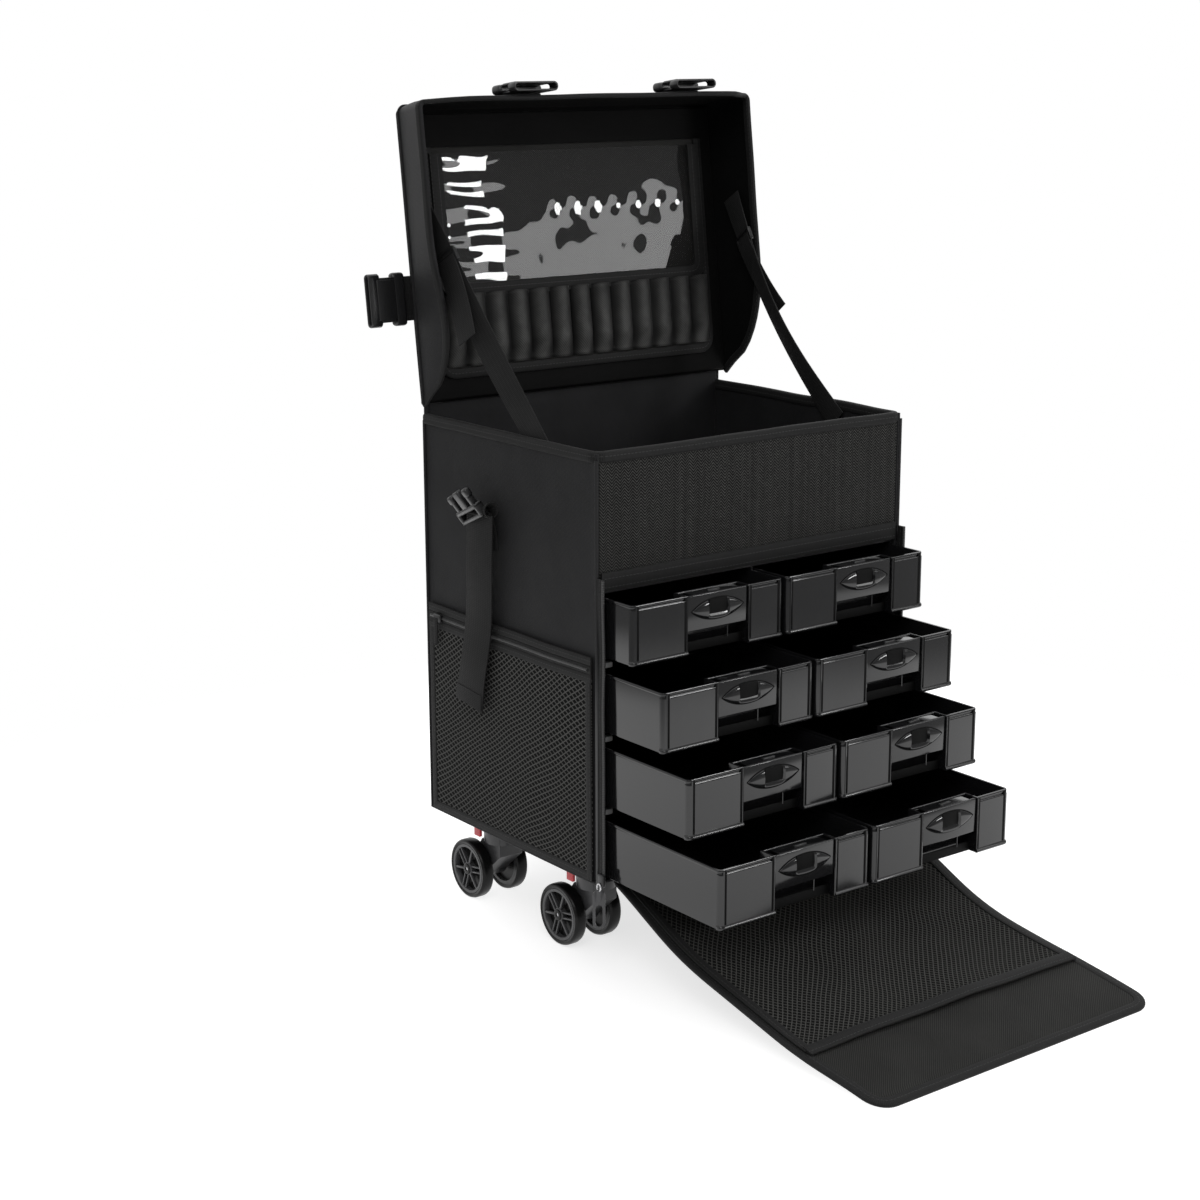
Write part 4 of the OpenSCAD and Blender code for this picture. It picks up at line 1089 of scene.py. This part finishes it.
film = grid(spread(page_low.x, page_high.x, 160), spread(page_low.y, page_high.y, 70), page_face)
page = piece("clear_page", [(film, CLEAR)], "lid", ["lid_clear_pocket"])


def bound_edge(half, foot, top, steps, out, section):
    """Tape down both sides of a sheet on the lid and along its foot, round two corners."""
    corner = 12 * MM
    path = [(-half, a) for a in spread(top, foot + corner, steps)]
    path += corner_arc(corner - half, foot + corner, corner, 5)[1:]
    path += [(-x, a) for x, a in path[::-1]]
    across = [lid_way(-t.y, t.x, 0) for t in tangents([Vector(p) for p in path])]
    return sweep([on_lid(x, a, ORG_FACE - out) for x, a in path], across, rounded_ring(*section, 2)), BINDING


mouth = [on_lid(x, SLOT_TO - 3 * MM, ORG_FACE - 1.8 * MM) for x in spread(-ORG_X, ORG_X, 8)]
trims = [bound_edge(-page_low.x, page_low.y, page_high.y, 16, 4.4 * MM, (14 * MM, 2.4 * MM, 1.0 * MM)),
         bound_edge(ORG_X, ORG_FROM, ORG_TO, 18, 1.2 * MM, (10 * MM, 4.4 * MM, 1.6 * MM)),
         (strap(mouth, lid_way(0, 1, 0), 7 * MM, 1.6 * MM), BINDING)]
piece("organiser_tape", trims, "lid")

# Webbing on the lid, with a buckle socket at the end of each strap
straps, sockets = [], []
FRONT_X, WEB_LIFT = 96 * MM, 0.9 * MM
SIDE_A = HINGE.y - STRAP_Y
SIDE_FREE = lid_box("lid_buckle_sockets")[1].x - SOCKET_L - LID_X
for sign in (-1, 1):
    x, ahead = sign * FRONT_X, Vector((0, 1))
    run = [on_lid(x, a, lid_top(x, a) + WEB_LIFT) for a in spread(4 * MM, inner_l, 24)]
    run += [lid_edge(Vector((x, inner_l)), ahead, d) + edge_way(ahead, d, 1.57) * WEB_LIFT
            for d in spread(0, EDGE, 8)[1:]]
    run += [on_lid(x, LID_L + 2.2 * MM, -d) for d in spread(LID_R + 4 * MM, 77 * MM, 8)]
    straps.append(web_strap(run, (1, 0, 0)))
    run = [on_lid(sign * a, SIDE_A, lid_top(sign * a, SIDE_A) + WEB_LIFT)
           for a in spread(FRONT_X + 22 * MM, inner_x, 12)]
    run += [on_lid(sign * (LID_X + d), SIDE_A, WEB_LIFT) for d in spread(-4 * MM, 26 * MM, 6)]
    straps.append(web_strap(run, lid_way(0, 1, 0)))
    socket = buckle_socket(SOCKET_L, BUCKLE_W, BUCKLE_T)
    sockets += [(put(part, lambda w, t, l: on_lid(x + w, LID_L + 3.2 * MM + t, -61 * MM - l)), MATT)
                for part in socket]
    sockets += [(put(part, lambda w, t, l: on_lid(sign * (LID_X + SIDE_FREE + l), SIDE_A + w, -t)), MATT)
                for part in socket]
piece("lid_webbing", straps, "lid", ["lid_straps"])
piece("lid_sockets", sockets, "lid", ["lid_buckle_sockets"])

# Stays between the rim and the lid, each with a slide buckle near the lid
STAY_W, STAY_STEPS, SLIDE_AT = 25 * MM, 40, 33
SLIDE_BARS = ((-15, 15, -7, -4.4), (-15, 15, -1.3, 1.3), (-15, 15, 4.4, 7), (-15, -12.6, -7, 7),
              (12.6, 15, -7, 7))
stay_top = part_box("lid_stays")[1].z
for side, sign in SIDES.items():
    start = Vector((sign * 176.6 * MM, CASE_Y - 56 * MM, RIM - 20 * MM))
    lean_out = flare(-LID_X, 172 * MM, 38 * MM) if side == "left" else 0.0
    end = Vector((sign * (183.0 * MM + lean_out), CASE_Y + 116.3 * MM, stay_top - 2 * MM))
    along, slack = end - start, Vector((-sign * 5 * MM, 7 * MM, -9 * MM))
    steps = spread(0, 1, STAY_STEPS)
    path = [start + along * t + slack * sin(pi * t) for t in steps]
    across = [Vector((sign * 0.5 * sin(pi * t), 1.0, -0.9)) for t in steps]
    stay = piece(f"{side}_stay", [(strap(path, across, STAY_W, 1.7 * MM), WEBBING)], None,
                 ["lid_stays"] if side == "left" else ())
    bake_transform(stay)
    at, facing = path[SLIDE_AT], (path[SLIDE_AT + 2] - path[SLIDE_AT - 2]).normalized()
    cross = (across[SLIDE_AT] - facing * across[SLIDE_AT].dot(facing)).normalized()
    out = facing.cross(cross)
    bars = []
    for a0, a1, l0, l1 in SLIDE_BARS:
        bar = box_at((0, 0, 0), (a0, -2, l0), (a1, 2, l1), 1, 2)
        bars.append((put(bar, lambda a, b, l: at + cross * a + out * b + facing * l), MATT))
    droop = Vector((sign * 15 * MM, 6 * MM, 4 * MM))
    tail = [path[SLIDE_AT - k] + out * 2.2 * MM + droop * (k / 13) ** 1.6 for k in range(14)]
    bars.append((strap(tail, across[SLIDE_AT], STAY_W, 1.6 * MM), WEBBING))
    glide = piece(f"{side}_stay_slide", bars, None)
    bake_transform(glide)

# Front flap
flap_low, flap_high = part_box("front_flap")
FLAP_W = flap_high.x
FLAP_REACH = FLAP_HINGE.y - flap_low.y
FLAP_DROP = FLAP_HINGE.z - 2.5 * MM
CHORD = Vector((0, -FLAP_REACH, -FLAP_DROP)).normalized()
FLAP_UP = Vector((0, CHORD.z, -CHORD.y))
FLAP_LEN = hypot(FLAP_REACH, FLAP_DROP)
FLAP_R, TAPE_IN = 20 * MM, 4 * MM
POCKET_FROM, POCKET_TO, POCKET_E, POCKET_PUFF = 0.03, 0.735, 0.965, 2.5 * MM


def flap_line(s):
    """Place and height of the slack flap, seen from the side."""
    slack = 20 * MM * sin(pi * s ** 0.85) ** 1.5 if 0 < s < 1 else 0.0
    return FLAP_HINGE.y - FLAP_REACH * s, FLAP_HINGE.z - FLAP_DROP * s - slack


def flap_half(s):
    """Half of the flap's width, rounded off at its far corners."""
    left = min(max((1 - s) * FLAP_LEN, 0.0), FLAP_R)
    round_off = FLAP_R - sqrt(max(0.0, FLAP_R ** 2 - (FLAP_R - left) ** 2))
    return FLAP_W - round_off + 2.5 * MM * sin(9.5 * s) * sin(pi * s)


def flap_face(e, s, over=0.0):
    """e from -1 to 1 across, s from 0 at the hinge to 1 at the far edge."""
    y, z = flap_line(s)
    ripple = 2.2 * MM * soft(e * 1.3, s * 2.0, 4, 2.2)
    ripple += 2.4 * MM * cos(2 * e) * smooth((s - 0.7) / 0.12) * smooth((0.98 - s) / 0.1)
    ripple *= sin(pi * min(1.0, s * 1.02 + 0.01))
    point = Vector((e * flap_half(s), y, z)) + FLAP_UP * (ripple + over)
    point.z = max(point.z, 2.3 * MM)
    return point


def flap_sheet(es, ss, over=lambda e, s: 0.0):
    """A sheet that lies over the flap by a height at each place."""
    return grid([e * FLAP_W for e in es], [s * FLAP_LEN for s in ss],
                lambda u, v: flap_face(u / FLAP_W, v / FLAP_LEN, over(u / FLAP_W, v / FLAP_LEN)))


def puff(e):
    """How far the pocket stands off in the middle of its width."""
    return POCKET_PUFF * cos(1.55 * e)


def settle_on_flap(made):
    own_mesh(made)


flap = piece("flap_cloth", [(flap_sheet(spread(-1, 1, 60), spread(0.0, 1.0, 70)), TWILL)],
             "flap", ["front_flap"])
thicken(flap, 2.4 * MM)
settle_on_flap(flap)
net_sheet = flap_sheet(spread(-POCKET_E, POCKET_E, 60), spread(POCKET_FROM, POCKET_TO, 60),
                       lambda e, s: 2.6 * MM + puff(e) * smooth((s - 0.05) / 0.3))
net_cloth = piece("flap_net", [(net_sheet, FINE_NET)], "flap", ["flap_pocket"])
thicken(net_cloth, 0.8 * MM)
settle_on_flap(net_cloth)
# Tapes: round the flap's edge, and along the pocket's mouth and sides
edge = [(-flap_half(d / FLAP_LEN) + TAPE_IN, d) for d in spread(0.01 * FLAP_LEN, FLAP_LEN - FLAP_R, 40)]
bend = FLAP_R - TAPE_IN
edge += [(FLAP_R - FLAP_W - bend * cos(a), FLAP_LEN - FLAP_R + bend * sin(a))
         for a in spread(0, pi / 2, 8)[1:]]
edge += [(x, FLAP_LEN - TAPE_IN) for x in spread(FLAP_R - FLAP_W, 0, 15)[1:]]
edge += [(-x, d) for x, d in edge[-2::-1]]
edge = [flap_face(x / flap_half(d / FLAP_LEN), d / FLAP_LEN) for x, d in edge]
mouth = [flap_face(e, POCKET_TO, 4.0 * MM + puff(e)) for e in spread(-POCKET_E, POCKET_E, 40)]
across = [FLAP_UP.cross(t) for t in tangents(edge)]
tapes = [(sweep(edge, across, rounded_ring(11 * MM, 3.8 * MM, 1.7 * MM, 2)), BINDING),
         (strap(mouth, CHORD, 12 * MM, 2.2 * MM), BINDING)]
for e in (-0.945, 0.945):
    side_tape = [flap_face(e, s, 3.6 * MM) for s in spread(POCKET_FROM, POCKET_TO, 30)]
    tapes.append((strap(side_tape, (1, 0, 0), 9 * MM, 1.8 * MM), BINDING))
tape = piece("flap_tape", tapes, "flap", ["flap_pocket"])
settle_on_flap(tape)
# Webbing under the flap, with a plug at the end of each strap
FLAP_PLUG_L, FLAP_PLUG_T = 24 * MM, 6.4 * MM
PLUG_S = (FLAP_HINGE.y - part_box("flap_buckle_plugs")[1].y) / FLAP_REACH
straps, plugs = [], []
for sign in (-1, 1):
    e = sign * FRONT_X / FLAP_W
    under = [flap_face(e, s, -2.2 * MM) for s in spread(0.03, PLUG_S + 0.015, 30)]
    straps.append(web_strap(under, (1, 0, 0)))
    near = flap_face(e, PLUG_S)
    run = (flap_face(e, PLUG_S + FLAP_PLUG_L / FLAP_LEN) - near).normalized()
    down = Vector((1, 0, 0)).cross(run)
    down = down if down.z < 0 else -down
    plugs += [(put(part, lambda w, t, l: near + Vector((w, 0, 0)) + down * (t + 1.4 * MM) + run * l), MATT)
              for part in buckle_plug(FLAP_PLUG_L, BUCKLE_W, FLAP_PLUG_T)]
webbing = piece("flap_webbing", straps, "flap", ["front_flap"])
settle_on_flap(webbing)
piece("flap_plugs", plugs, "flap", ["flap_buckle_plugs"])

# CAD pieces that show as they are: paint, slot and rounding in millimetres
FINISH = {"drawer_cabinet": (MATT, "matt_plastic", 0.4), "trolley_housing": (MATT, "matt_plastic", 1.5),
          "trolley_outer_tubes": (TUBE, "dark_tube", 0.4), "caster_sockets": (MATT, "matt_plastic", 1.0),
          "handle_middle_tubes": (TUBE, "dark_tube", 0.3), "handle_top_tubes": (TUBE, "dark_tube", 0.3),
          "handle_grip": (MATT, "matt_plastic", 1.5), "handle_button": (GLOSS, "gloss_plastic", 1.0),
          "carry_handle_brackets": (MATT, "matt_plastic", 1.5), "carry_handle": (GLOSS, "gloss_plastic", 1.2)}
for corner in CORNERS:
    FINISH[f"{corner}_fork"] = (HUB, "matt_plastic", 1.0)
    FINISH[f"{corner}_axle"] = (STEEL, "steel", 0.5)
    FINISH[f"{corner}_release"] = (RED, "red_plastic", 0.8)
CREASE = radians(40)
for name, (paint, slot, round_off) in FINISH.items():
    made = NODE[name]
    made.data.materials.clear()
    made.data.materials.append(paint)
    made.modifiers.new("weld", "WELD").merge_threshold = 0.01 * MM
    bevel = made.modifiers.new("rounding", "BEVEL")
    bevel.width, bevel.segments, bevel.limit_method = round_off * MM, 2, "ANGLE"
    bevel.angle_limit = CREASE
    made.data.shade_smooth()
    made.data.set_sharp_from_angle(angle=CREASE)


# Floor, light and camera
def floor_paint():
    """White that glows away from the part and takes its shadow near it."""
    made = Paint("floor", grey(0.9), 0.8, Specular_IOR_Level=0.1)
    tree = made.tree
    place = add_node(tree, "ShaderNodeTexCoord").outputs["Object"]
    reach = add_node(tree, "ShaderNodeVectorMath", {0: place}, operation="LENGTH").outputs["Value"]
    rays = add_node(tree, "ShaderNodeLightPath").outputs
    mirror = made.math("MAXIMUM", rays["Is Glossy Ray"], rays["Is Transmission Ray"])
    seen = made.math("MAXIMUM", rays["Is Camera Ray"], mirror)
    fade = made.times(ramp(tree, reach, 0.15, 0.75, 0.45, 1.0), seen)
    power = made.math("MAXIMUM", rays["Is Camera Ray"], ramp(tree, reach, 0.85, 1.25, 1.6, 0.45))
    glow = add_node(tree, "ShaderNodeEmission", {"Color": (1, 1, 1, 1), "Strength": power})
    mixed = add_node(tree, "ShaderNodeMixShader", {0: fade, 1: made.shader.outputs[0], 2: glow.outputs[0]})
    tree.links.new(mixed.outputs[0], tree.nodes["Material Output"].inputs["Surface"])
    return made.material


FLOOR_HALF = 14
floor_mesh = bpy.data.meshes.new("floor")
floor_corners = [(x * FLOOR_HALF, y * FLOOR_HALF, 0) for x, y in ((-1, -1), (1, -1), (1, 1), (-1, 1))]
floor_mesh.from_pydata(floor_corners, [], [(0, 1, 2, 3)])
floor = add_object("floor", floor_mesh)
floor.data.materials.append(floor_paint())
floor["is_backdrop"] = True

# White to the camera, half as bright as a light, and in reflections dim in front and bright behind
world = bpy.data.worlds.new("studio")
bpy.context.scene.world = world
world.use_nodes = True
sky = world.node_tree
rays = add_node(sky, "ShaderNodeLightPath").outputs
place = add_node(sky, "ShaderNodeTexCoord").outputs["Generated"]
toward = add_node(sky, "ShaderNodeSeparateXYZ", {0: place}).outputs["Y"]
unseen = ramp(sky, rays["Is Glossy Ray"], 0.0, 1.0, 0.5, ramp(sky, toward, -0.3, 0.1, 0.3, 1.0), "LINEAR")
level = add_node(sky, "ShaderNodeMath", {0: rays["Is Camera Ray"], 1: unseen}, operation="MAXIMUM").outputs[0]
background = sky.nodes["Background"]
background.inputs["Color"].default_value = (1, 1, 1, 1)
sky.links.new(level, background.inputs["Strength"])


def lamp(name, spot, aim, size, power, roll=0.0):
    light = bpy.data.lights.new(name, "AREA")
    light.shape, light.size, light.size_y, light.energy = "RECTANGLE", size[0], size[1], power
    made = add_object(name, light)
    made.location = spot
    turned = (Vector(aim) - Vector(spot)).to_track_quat("-Z", "Y").to_matrix()
    made.rotation_euler = (turned @ Matrix.Rotation(radians(roll), 3, "Z")).to_euler()


lamp("key", (-1.6, -1.6, 2.3), (0, 0.05, 0.35), (1.4, 1.4), 26)
lamp("fill", (2.0, -1.8, 2.2), (0, 0.05, 0.4), (1.4, 1.2), 14)
lamp("top", (0.2, 0.6, 2.6), (0, 0.1, 0.3), (2.0, 2.0), 18)
lamp("film_key", (1.2, -2.05, 1.0), (0, 0.3, 0.6), (0.5, 0.27), 11.5)
lamp("film_fill", (2.1, -2.05, 0.91), (0, 0.3, 0.6), (1.2, 0.34), 5.5, 8)

camera_data = bpy.data.cameras.new("camera")
camera = add_object("camera", camera_data)
camera_data.lens, camera_data.sensor_width = 66.758, 36
camera_data.clip_end = 60
azimuth, elevation, roll = radians(-37.147), radians(13.946), radians(-0.19)
forward = Vector((-sin(azimuth) * cos(elevation), cos(azimuth) * cos(elevation),
                  -sin(elevation)))
right = forward.cross(Vector((0, 0, 1))).normalized()
up = right.cross(forward)
right, up = right * cos(roll) + up * sin(roll), up * cos(roll) - right * sin(roll)
camera.matrix_world = Matrix((right, up, -forward)).transposed().to_4x4()
camera.location = (-1.3276, -1.6521 + CASE_Y, 0.8282)
bpy.context.scene.camera = camera
bpy.context.scene.view_settings.view_transform = "Standard"

low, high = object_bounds()
